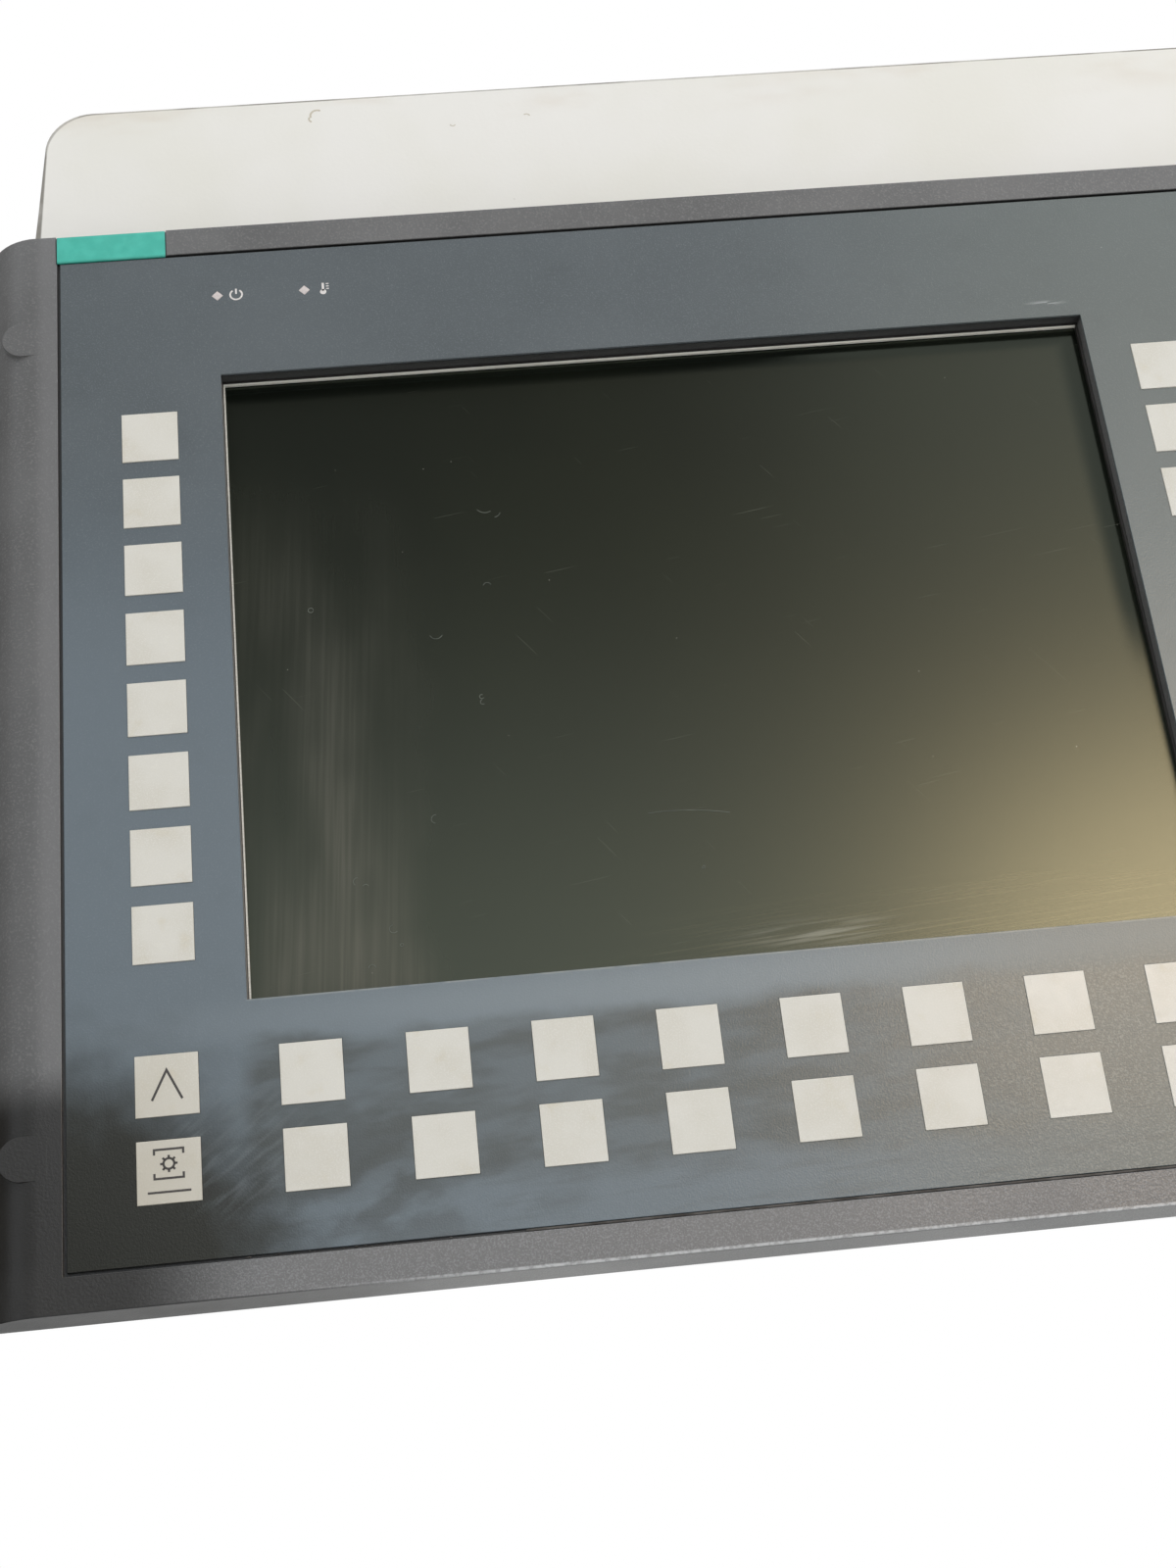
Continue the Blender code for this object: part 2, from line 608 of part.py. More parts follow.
def make_ribbon():
    """Flat lead with a plug at each end, in an easy bend through the support plate."""
    front = KEY_BOARD_BACK + GAP
    back = BOARD_FRONT - GAP
    start = front + RIBBON_PLUG_LENGTH
    end = back - RIBBON_PLUG_LENGTH
    steps = 2 * CORNER_STEPS
    path = [start + (end - start) * i / steps for i in range(steps + 1)]
    half = RIBBON_THICK / 2
    plug = RIBBON_PLUG_HEIGHT / 2
    lower = [(d, ribbon_centre(d) - half) for d in path]
    upper = [(d, ribbon_centre(d) + half) for d in reversed(path)]
    first = [(start, RIBBON_START_Z + plug), (front, RIBBON_START_Z + plug),
             (front, RIBBON_START_Z - plug), (start, RIBBON_START_Z - plug)]
    last = [(end, RIBBON_END_Z - plug), (back, RIBBON_END_Z - plug),
            (back, RIBBON_END_Z + plug), (end, RIBBON_END_Z + plug)]
    outline = first + lower + last + upper
    left = RIBBON_X - RIBBON_WIDTH / 2
    right = RIBBON_X + RIBBON_WIDTH / 2
    bm = bmesh.new()
    add_loft(bm, [[(x, world_y(d), z) for d, z in outline] for x in (left, right)])
    finish("ribbon_cable", bm, material("ribbon_grey", (0.42, 0.42, 0.42), 0.6))


def make_support_plate():
    steel = material("support_steel", (0.5, 0.5, 0.48), 0.4, 1.0)
    corner = HOUSING_CORNER - HOUSING_SHEET
    outline = rounded_rectangle(0, BEZEL_MID, HOUSING_INNER_WIDTH - 2 * GAP,
                                HOUSING_INNER_HEIGHT - 2 * GAP, corner)
    plate = slab("support_plate", outline, SUPPORT_FRONT, SUPPORT_BACK, steel)
    levels = [ribbon_centre(SUPPORT_FRONT), ribbon_centre(SUPPORT_BACK)]
    slot_height = max(levels) - min(levels) + RIBBON_THICK + 2 * RIBBON_SLOT_CLEARANCE
    slot = rectangle(RIBBON_X, sum(levels) / 2, RIBBON_WIDTH + 2 * RIBBON_SLOT_CLEARANCE, slot_height)
    cut(plate, tool("ribbon_slot", [(slot, SUPPORT_FRONT - OVERSHOOT, SUPPORT_BACK + OVERSHOOT)]))
    places = standoff_places(INTERFACE_BOARD_X, INTERFACE_BOARD_Z,
                             INTERFACE_BOARD_WIDTH, INTERFACE_BOARD_HEIGHT)
    places += standoff_places(INVERTER_X, INVERTER_Z, INVERTER_WIDTH, INVERTER_HEIGHT)
    post = [(STANDOFF_DIAMETER, SUPPORT_BACK - JOIN_OVERLAP),
            (STANDOFF_DIAMETER, SUPPORT_BACK + STANDOFF_HEIGHT)]
    join(plate, tool("standoffs", turned=[(post, x, z, DOME_SIDES) for x, z in places]))


def port_places():
    return ((INTERFACE_BOARD_X + POWER_PORT_OFFSET, POWER_PORT_WIDTH),
            (INTERFACE_BOARD_X + DATA_PORT_OFFSET, DATA_PORT_WIDTH))


def make_boards():
    green = material("board_laminate", (0.02, 0.12, 0.06), 0.45)
    outline = rectangle(INTERFACE_BOARD_X, INTERFACE_BOARD_Z, INTERFACE_BOARD_WIDTH, INTERFACE_BOARD_HEIGHT)
    board = slab("interface_board", outline, BOARD_FRONT, BOARD_BACK, green)
    outer_floor = HOUSING_FLOOR - HOUSING_SHEET
    port_z = outer_floor + PORT_LENGTH / 2
    foot = BOARD_BACK - JOIN_OVERLAP
    blocks = [(rectangle(x, port_z, width, PORT_LENGTH), foot, BOARD_BACK + PORT_HEIGHT)
              for x, width in port_places()]
    processor = rectangle(INTERFACE_BOARD_X, INTERFACE_BOARD_Z, PROCESSOR_SIZE, PROCESSOR_SIZE)
    blocks.append((processor, foot, BOARD_BACK + PROCESSOR_HEIGHT))
    join(board, tool("interface_blocks", blocks))

    outline = rectangle(INVERTER_X, INVERTER_Z, INVERTER_WIDTH, INVERTER_HEIGHT)
    inverter = slab("backlight_inverter", outline, BOARD_FRONT, BOARD_BACK,
                    material("inverter_laminate", (0.06, 0.10, 0.03), 0.45))
    transformer = rectangle(INVERTER_X, INVERTER_Z, TRANSFORMER_WIDTH, TRANSFORMER_LENGTH)
    join(inverter, tool("transformer", [(transformer, foot, BOARD_BACK + TRANSFORMER_HEIGHT)]))


def make_housing():
    """Sheet steel pan, open to the front, with vents in its back and ports below."""
    mat = material("housing_zinc", (0.56, 0.57, 0.57), 0.38, 1.0)
    outline = rounded_rectangle(0, BEZEL_MID, HOUSING_WIDTH, HOUSING_HEIGHT, HOUSING_CORNER)
    bm = bmesh.new()
    add_prism(bm, outline, HOUSING_FRONT, HOUSING_BACK)
    back = world_y(HOUSING_BACK)
    bend = [e for e in bm.edges if all(abs(v.co.y - back) < GAP for v in e.verts)]
    bmesh.ops.bevel(bm, geom=bend, offset=HOUSING_BEND, segments=2, profile=0.5, affect="EDGES")
    housing = finish("rear_housing", bm, mat, smooth=True)
    inner = rounded_rectangle(0, BEZEL_MID, HOUSING_INNER_WIDTH, HOUSING_INNER_HEIGHT,
                              HOUSING_CORNER - HOUSING_SHEET)
    cut(housing, tool("housing_inside", [(inner, HOUSING_FRONT - OVERSHOOT, HOUSING_BACK - HOUSING_SHEET)]))
    vents = []
    for side in (-1, 1):
        for i in range(VENT_COUNT):
            x = side * (VENT_LENGTH / 2 + VENT_PITCH)
            z = BEZEL_MID + VENT_RISE + (i - (VENT_COUNT - 1) / 2) * VENT_PITCH
            slot = rounded_rectangle(x, z, VENT_LENGTH, VENT_WIDTH, VENT_END_RADIUS, VENT_STEPS)
            vents.append((slot, HOUSING_BACK - HOUSING_SHEET - OVERSHOOT, HOUSING_BACK + OVERSHOOT))
    cut(housing, tool("vents", vents))
    floor_mid = HOUSING_FLOOR - HOUSING_SHEET / 2
    windows = [(rectangle(x, floor_mid, width + 2 * PORT_CLEARANCE, HOUSING_SHEET + 2 * OVERSHOOT),
                BOARD_BACK - PORT_CLEARANCE, BOARD_BACK + PORT_HEIGHT + PORT_CLEARANCE)
               for x, width in port_places()]
    cut(housing, tool("port_windows", windows))


def make_gasket():
    mat = material("gasket_foam", (0.02, 0.02, 0.02), 0.85)
    outline = rectangle(0, BEZEL_MID, BEZEL_WIDTH - 2 * GASKET_INSET, BEZEL_HEIGHT - 2 * GASKET_INSET)
    gasket = slab("sealing_gasket", outline, GASKET_FRONT, GASKET_BACK, mat)
    cut(gasket, tool("gasket_openings", plate_openings(GASKET_FRONT, GASKET_BACK)))


def plate_openings(front, back):
    """Cut-out for the housing and holes for the mounting screws, through one layer."""
    cutout = rounded_rectangle(0, BEZEL_MID, CUTOUT_WIDTH, CUTOUT_HEIGHT, HOUSING_CORNER)
    hole = SCREW_SHANK_DIAMETER + 2 * GAP
    openings = [(cutout, front - OVERSHOOT, back + OVERSHOOT)]
    openings += [(circle(x, z, hole, ROUND_SIDES), front - OVERSHOOT, back + OVERSHOOT)
                 for _, x, z in plug_places()]
    return openings


def plate_outline():
    """Body hidden behind the bezel, then the drawn-in upstand with round corners."""
    half = BEZEL_WIDTH / 2 - PLATE_INSET
    bottom = BEZEL_BOTTOM + PLATE_INSET
    shoulder = BEZEL_TOP - PLATE_INSET
    base = BEZEL_WIDTH / 2 - UPSTAND_INSET
    lean = math.atan2(UPSTAND_DRAW_IN, PLATE_TOP - shoulder)
    top = PLATE_TOP - UPSTAND_CORNER
    edge_at_top = base - UPSTAND_DRAW_IN + UPSTAND_CORNER * math.tan(lean)
    corner_x = edge_at_top - UPSTAND_CORNER / math.cos(lean)
    quarter = math.pi / 2
    right = [(0, bottom)]
    right += arc(half - PLATE_CORNER, bottom + PLATE_CORNER, PLATE_CORNER, -quarter, 0, CORNER_STEPS)
    right += [(half, shoulder), (base, shoulder)]
    right += arc(corner_x, top, UPSTAND_CORNER, lean, quarter, 2 * CORNER_STEPS)
    left = [(-x, z) for x, z in reversed(right) if x > 0]
    return right + [(0, PLATE_TOP)] + left


def make_mounting_plate():
    mat = material("plate_paint", (0.76, 0.75, 0.70), 0.5)
    bm = bmesh.new()
    add_prism(bm, plate_outline(), PLATE_FRONT, PLATE_BACK)
    front = world_y(PLATE_FRONT)
    rim = [e for e in bm.edges if all(abs(v.co.y - front) < GAP for v in e.verts)]
    bmesh.ops.bevel(bm, geom=rim, offset=PLATE_EDGE, segments=3, profile=0.5, affect="EDGES")
    plate = finish("mounting_plate", bm, mat, smooth=True)
    cut(plate, tool("plate_openings", plate_openings(PLATE_FRONT, PLATE_BACK)))


def main():
    clear_scene()
    make_bezel()
    make_foil()
    make_keys()
    make_key_layers()
    make_light_guide()
    make_badge()
    make_plugs_and_screws()
    make_display()
    make_support_plate()
    make_boards()
    make_ribbon()
    make_housing()
    make_gasket()
    make_mounting_plate()


main()
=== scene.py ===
"""Looks for the operator panel: finishes, key legends, wear, fittings, light and camera.

Metres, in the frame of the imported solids: +Z up, the front faces -Y.
"""
import math
import random

import bmesh
import bpy
from mathutils import Matrix, Vector


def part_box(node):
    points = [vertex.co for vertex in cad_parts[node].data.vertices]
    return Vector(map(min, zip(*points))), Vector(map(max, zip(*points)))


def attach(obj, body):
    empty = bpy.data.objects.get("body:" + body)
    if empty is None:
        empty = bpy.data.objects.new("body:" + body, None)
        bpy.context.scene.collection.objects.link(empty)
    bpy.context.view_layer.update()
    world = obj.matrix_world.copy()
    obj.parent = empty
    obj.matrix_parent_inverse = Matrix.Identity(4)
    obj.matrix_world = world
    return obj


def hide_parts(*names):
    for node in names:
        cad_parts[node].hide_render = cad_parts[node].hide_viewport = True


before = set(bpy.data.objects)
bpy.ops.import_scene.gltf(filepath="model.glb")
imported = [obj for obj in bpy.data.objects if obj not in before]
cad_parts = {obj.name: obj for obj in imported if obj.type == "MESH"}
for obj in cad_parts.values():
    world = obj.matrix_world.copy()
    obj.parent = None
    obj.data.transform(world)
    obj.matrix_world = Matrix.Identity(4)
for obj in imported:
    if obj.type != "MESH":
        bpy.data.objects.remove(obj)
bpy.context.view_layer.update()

# Places read from the solids
BEZEL_LOW, BEZEL_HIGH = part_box("front_bezel")
FOIL_LOW, FOIL_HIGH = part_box("front_foil")
FRAME_LOW, FRAME_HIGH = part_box("display_frame")
PLATE_LOW, PLATE_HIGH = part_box("mounting_plate")
BADGE_LOW, BADGE_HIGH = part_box("badge_plate")
GUIDE_LOW, GUIDE_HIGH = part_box("indicator_light_guide")
HOUSING_LOW, HOUSING_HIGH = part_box("rear_housing")
BOARD_LOW, BOARD_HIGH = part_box("interface_board")
FIRST_KEY_LOW, FIRST_KEY_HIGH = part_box("left_key_1")
ROW_KEY_LOW, ROW_KEY_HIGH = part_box("upper_row_key_1")
ROW_LEFT = ROW_KEY_LOW.x
UPPER_ROW_TOP = ROW_KEY_HIGH.z
LOWER_ROW_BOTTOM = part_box("lower_row_key_1")[0].z
FRONT = BEZEL_LOW.y
FOIL_FRONT = FOIL_LOW.y
PANE_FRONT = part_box("display_pane")[0].y

# Front: windows in the foil, key pads, badge, plugs and display seal
SCREEN_MARGIN = 0.0055
SCREEN_LEFT = FRAME_LOW.x + SCREEN_MARGIN
SCREEN_RIGHT = FRAME_HIGH.x - SCREEN_MARGIN
SCREEN_BOTTOM = FRAME_LOW.z + SCREEN_MARGIN
SCREEN_TOP = FRAME_HIGH.z - SCREEN_MARGIN
SCREEN_MID = Vector(((SCREEN_LEFT + SCREEN_RIGHT) / 2, FRONT, (SCREEN_BOTTOM + SCREEN_TOP) / 2))
KEY_GAP = 0.00005
KEY_EDGE = 0.0001
KEY_EASE = 0.3 * KEY_EDGE
KEY_PAD_THICK = 0.0006
FOIL_EDGE = 0.00008
RECESS_EDGE = 0.00025
FLANK_RADIUS = 0.0155
FLANK_PLAY = 0.0003
BROAD_FACE = 0.00002
RIM_SHORTEST = 0.005
SHARP_DEGREES = 50.0
INDICATOR_DIAGONAL = 0.0032
INDICATOR_END = 0.004
INDICATOR_GAP = 0.00004
BADGE_EDGE = 0.00022
PLUG_SIDES = 64
PLUG_GROWTH = 0.00031
PLUG_RISE = 0.00003
TONGUE_LENGTH = 0.0062
TONGUE_DEPTH = 0.002
SEAL_REACH = 0.0004
SEAL_RISE = 0.00012
SEAL_INSETS = (0.0002, 0.0012, 0.0007, 0.0006)

# Plate: outline of its upstand, eased edges, levels between which its stains begin
UPSTAND_INSET = 0.01525
UPSTAND_LEAN = 0.059
UPSTAND_CORNER = 0.0145
UPSTAND_FOOT = BEZEL_HIGH.z - 0.004
PLATE_FRONT_EDGE = 0.0003
PLATE_REAR_EDGE = 0.0004
UPPER_STAIN = (0.012, 0.026)
LOWER_STAIN = (-0.024, -0.03)

# Wear
GROOVE_WIDTH = 0.0009
DIRT_START = 0.3
DIRT_HALF = 0.00028
DIRT_FRONT = 0.0003
DIRT_BACK = 0.0011
DIRT_EDGE = 0.0001
GRAIN_COUNT = 150
GRAIN_START = 0.04
GRAIN_DEPTHS = (0.0004, 0.0007)
GRAIN_STRETCH = (1.0, 3.0)
GRAIN_RADII = (0.00008, 0.0002)
FIBRE_WIDTH = 0.00012
FIBRE_THICK = 0.0001
FIBRES = (
    (0.0711, 0.1400, 0.0028, 215, 300), (0.0735, 0.1372, 0.0016, 270, 350),
    (0.0696, 0.1140, 0.0011, 20, 165), (0.0545, 0.1008, 0.0018, 200, 335),
    (0.0653, 0.0806, 0.0006, 60, 330), (0.0655, 0.0790, 0.0007, 100, 300),
    (0.0211, 0.1107, 0.0007, 0, 340), (0.0504, 0.0463, 0.0012, 80, 260),
    (0.0290, 0.0307, 0.0011, 90, 230), (0.0310, 0.0290, 0.0008, 20, 150),
    (0.0374, 0.0170, 0.0011, 100, 320), (0.0392, 0.0125, 0.0004, 0, 340),
    (0.0313, 0.0070, 0.0009, 10, 170), (0.1186, 0.0265, 0.0004, 0, 340),
    (0.1110, -0.0300, 0.0730, 77, 94),
)
PLATE_MARKS = (
    (-0.1052, 0.0240, 0.0021, 60, 200, 0.0006), (-0.1066, 0.0228, 0.0012, 150, 250, 0.0005),
    (-0.0634, 0.0176, 0.0009, 200, 330, 0.0003), (-0.0402, 0.0185, 0.0011, 20, 130, 0.0003),
)

# Back of the housing: screws, pressed beads, bare plate; cutters stand out of it by CUT_OVER
REAR = HOUSING_HIGH.y
CUT_OVER = 0.0001
RIM_INSET = 0.0095
SINK = ((0.002, -0.0009), (0.0042, CUT_OVER))
HEAD = ((0.0018, -0.00085), (0.0036, -0.0002), (0.0035, -0.00008))
CROSS_ARM = 0.0019
CROSS_HALF = 0.0004
CROSS_DEPTH = 0.0006
CROSS_TAPER = 0.75
CROSS_TURN = 37
BEAD_LEVELS = (-0.205, -0.235, -0.265, -0.295)
BEAD_LEFT = -0.14
BEAD_RIGHT = 0.04
BEAD_HALF = 0.0042
BEAD_FLOOR_HALF = 0.003
BEAD_DEPTH = 0.0006
TAG_LOW = (0.072, -0.285)
TAG_HIGH = (0.142, -0.235)
TAG_DEPTH = 0.0003
TAG_GAP = 0.0004
TAG_SINK = 0.00003
TAG_EDGE = 0.0001

# Ports below the housing: blocks by half sizes in x and y, both ends in z and eased edge
PORT_HEIGHT = 0.011
POWER_PORT_X = (BOARD_LOW.x + BOARD_HIGH.x) / 2 - 0.045
DATA_PORT_X = (BOARD_LOW.x + BOARD_HIGH.x) / 2 + 0.010
PORT_Y = BOARD_HIGH.y - PORT_HEIGHT / 2
PORT_Z = HOUSING_LOW.z
POWER_BLOCK = (0.0106, 0.006, -0.0045, 0.0, 0.0003)
POWER_POCKET = (0.0025, 0.004, -0.0046, -0.0008, 0.0)
POWER_PIN = (0.0005, 0.0005, -0.0038, -0.0007, 0.0001)
POWER_PITCH = 0.0064
DATA_FLANGE = (0.0165, 0.006, -0.0008, 0.0, 0.0002)
SHELL_WIDE = 0.0083
SHELL_NARROW = 0.0073
SHELL_HALF = 0.0042
SHELL_CUT = 0.0014
SHELL_WALL = 0.0004
SHELL_ENDS = (-0.0006, -0.0055)
INSERT_ENDS = (-0.0005, -0.0018)
DATA_ROWS = ((5, 0.0014), (4, -0.0014))
DATA_PITCH = 0.00277
DATA_PIN = ((0.0005, -0.0017), (0.0005, -0.0045), (0.0003, -0.0049))
POST = ((0.0029, -0.0007), (0.0029, -0.0042), (0.0026, -0.0045), (0.0014, -0.0045), (0.0014, -0.0015))
POST_OFFSET = 0.0125

# Fittings on the plate's back: earth stud, threaded collars
STUD_PLACE = (0.150, PLATE_HIGH.y, 0.006)
WASHER = ((0.0045, 0.0), (0.0045, 0.0008), (0.0043, 0.001))
NUT = ((0.0040, 0.0010), (0.0040, 0.0040), (0.0036, 0.0043), (0.0021, 0.0043))
THREAD_START = (0.0020, 0.004)
THREAD_TURN = ((0.0020, 0.0043), (0.00178, 0.0045))
THREAD_TURNS = 12
THREAD_PITCH = 0.0004
THREAD_END = (0.0014, 0.0095)
COLLAR = ((0.0025, 0.0), (0.0041, 0.0), (0.0041, 0.0008), (0.0038, 0.0011), (0.0025, 0.0011))

# Legends printed on the keys and beside the lamps
PRINT_THICK = 0.00003
MITRE_LIMIT = 0.35
CARET_STROKE = 0.0006
CARET_HALF_WIDTH = 0.0037
CARET_HEIGHT = 0.0075
BRACKET_STROKE = 0.00055
BRACKET_HALF_WIDTH = 0.0035
BRACKET_LEG = 0.0013
BRACKET_TOP = 0.0054
BRACKET_LOW = -0.0017
WHEEL_RADIUS = 0.0013
TOOTH_RADII = (0.0014, 0.0021)
RULE_HALF = 0.0052
RULE_LEVEL = -0.0050
LIST_HALF = 0.0034
LIST_LEVELS = (0.0028, 0.0, -0.0028)
ICON_STROKE = 0.0005
ICON_SIZE = 0.0034
ICON_OFFSET = 0.0054

# Camera: focal length in pixels of the 1200 x 1600 frame, place from the first key, view axes
FRAME_PIXELS_HIGH = 1600
FOCAL_PIXELS = 2150
SENSOR_MM = 36.0
FIRST_KEY_CORNER = Vector((FIRST_KEY_LOW.x, FRONT, FIRST_KEY_HIGH.z))
CAMERA_PLACE = FIRST_KEY_CORNER + Vector((0.08126, -0.50511, -0.33872))
CAMERA_RIGHT = Vector((0.99420, -0.02958, -0.10340))
CAMERA_DOWN = Vector((-0.08337, 0.39544, -0.91470))
CAMERA_FORWARD = Vector((0.06795, 0.91802, 0.39068))

# Floor and light
FLOOR_Z = -0.55
FLOOR_SIZE = 8.0
AMBIENT = 0.4
LAMP_DISTANCE = 1.9
WARM_DISTANCE = 1.8
WARM_TINT = (1.0, 0.69, 0.45)
CARD_DISTANCE = 1.0

random.seed(12)


# Materials, by name

MATERIALS = {}


def colour(red, green, blue):
    """Linear colour from 8-bit display values."""
    def linear(value):
        share = value / 255
        return share / 12.92 if share <= 0.04045 else ((share + 0.055) / 1.055) ** 2.4
    return (linear(red), linear(green), linear(blue), 1.0)


class Nodes:
    """The nodes of a material or of the world."""

    def __init__(self, owner):
        owner.use_nodes = True
        self.tree = owner.node_tree

    def feed(self, socket, value):
        if isinstance(value, bpy.types.NodeSocket):
            self.tree.links.new(value, socket)
        else:
            socket.default_value = value

    def node(self, kind, inputs=None, **settings):
        node = self.tree.nodes.new(kind)
        for key, value in settings.items():
            setattr(node, key, value)
        for key, value in (inputs or {}).items():
            self.feed(node.inputs[key], value)
        return node

    def math(self, operation, first, second=0.0):
        return self.node("ShaderNodeMath", {0: first, 1: second}, operation=operation).outputs[0]


class Finish(Nodes):
    """A material under construction, with one method for each kind of pattern."""

    def __init__(self, name, roughness, **constants):
        MATERIALS[name] = bpy.data.materials.new(name)
        super().__init__(MATERIALS[name])
        self.shader = self.tree.nodes["Principled BSDF"]
        self.shader.inputs["Roughness"].default_value = roughness
        for socket, value in constants.items():
            self.shader.inputs[socket.replace("_", " ")].default_value = value
        self.place = self.node("ShaderNodeTexCoord").outputs["Object"]
        self.base = None

    def turned(self, degrees, stretch):
        """Coordinates that stretch patterns along a line, turned up from x by that angle."""
        turn = (0.0, math.radians(-degrees), 0.0)
        inputs = {"Vector": self.place, "Rotation": turn, "Scale": (stretch, 1.0, 1.0)}
        return self.node("ShaderNodeMapping", inputs, vector_type="TEXTURE").outputs["Vector"]

    def noise(self, size, detail=2.0, place=None):
        """Cloudy values round a half, in patches of about that size."""
        inputs = {"Vector": place or self.place, "Scale": 1.0 / size, "Detail": detail}
        return self.node("ShaderNodeTexNoise", inputs).outputs["Fac"]

    def times(self, share, *others):
        for other in others:
            share = self.math("MULTIPLY", share, other)
        return share

    def drift(self, size, detail, reach):
        """Cloudy values round zero."""
        return self.times(self.math("SUBTRACT", self.noise(size, detail), 0.5), reach)

    def ramp(self, value, low, high):
        """0 below low, 1 above high, smooth between; the other way round if low is above high."""
        inputs = {"Value": value, "From Min": low, "From Max": high}
        return self.node("ShaderNodeMapRange", inputs, interpolation_type="SMOOTHSTEP").outputs["Result"]

    def axis(self, letter):
        return self.node("ShaderNodeSeparateXYZ", {0: self.place}).outputs[letter]

    def along(self, letter, low, high, start=0.0):
        """A ramp between two places on an axis, counted from a start."""
        return self.ramp(self.axis(letter), start + low, start + high)

    def within(self, letter, low, high, edge=0.0002):
        """1 between two places on an axis, 0 outside them."""
        return self.times(self.along(letter, -edge, 0.0, low), self.along(letter, edge, 0.0, high))

    def near(self, centre, radii):
        """1 at a point, falling to 0 on an ellipsoid round it."""
        offset = self.node("ShaderNodeVectorMath", {0: self.place, 1: centre}, operation="SUBTRACT")
        share = self.node("ShaderNodeVectorMath", {0: offset.outputs[0], 1: radii}, operation="DIVIDE")
        length = self.node("ShaderNodeVectorMath", {0: share.outputs[0]}, operation="LENGTH")
        return self.ramp(length.outputs["Value"], 1.0, 0.0)

    def cells(self, size):
        """A net of cells: the node, and a value for each cell."""
        node = self.node("ShaderNodeTexVoronoi", {"Vector": self.place, "Scale": 1.0 / size})
        return node, self.node("ShaderNodeSeparateColor", {0: node.outputs["Color"]}).outputs[0]

    def specks(self, cell, size, share):
        """Round specks, in some cells of a net of that size."""
        node, value = self.cells(cell)
        dots = self.ramp(node.outputs["Distance"], size / cell, 0.5 * size / cell)
        return self.times(dots, self.math("GREATER_THAN", value, 1.0 - share))

    def scratches(self, degrees, width, length, low):
        """Thin streaks along one direction."""
        streaks = self.noise(width, 1.0, self.turned(degrees, length / width))
        return self.ramp(streaks, low, low + 0.03)

    def mix(self, share, first, second):
        """A colour between two."""
        return self.node("ShaderNodeMix", {0: share, 6: first, 7: second}, data_type="RGBA").outputs[2]

    def blend(self, share, first, second):
        """A number between two."""
        return self.node("ShaderNodeMix", {0: share, 2: first, 3: second}, data_type="FLOAT").outputs[0]

    def ground(self, share, first, second):
        """Starts the base colour between two 8-bit colours."""
        self.base = self.mix(share, colour(*first), colour(*second))

    def paint(self, tone, *shares):
        """Lays an 8-bit colour over the base, as far as the product of the shares."""
        self.base = self.mix(self.times(*shares), self.base, colour(*tone))

    def bump(self, height, depth):
        """Relief of that depth, on top of any relief added before."""
        node = self.node("ShaderNodeBump", {"Height": height, "Distance": depth, "Strength": 1.0})
        normal = self.shader.inputs["Normal"]
        if normal.is_linked:
            self.tree.links.new(normal.links[0].from_socket, node.inputs["Normal"])
        self.tree.links.new(node.outputs["Normal"], normal)

    def done(self, roughness=None):
        self.feed(self.shader.inputs["Base Color"], self.base)
        if roughness is not None:
            self.feed(self.shader.inputs["Roughness"], roughness)


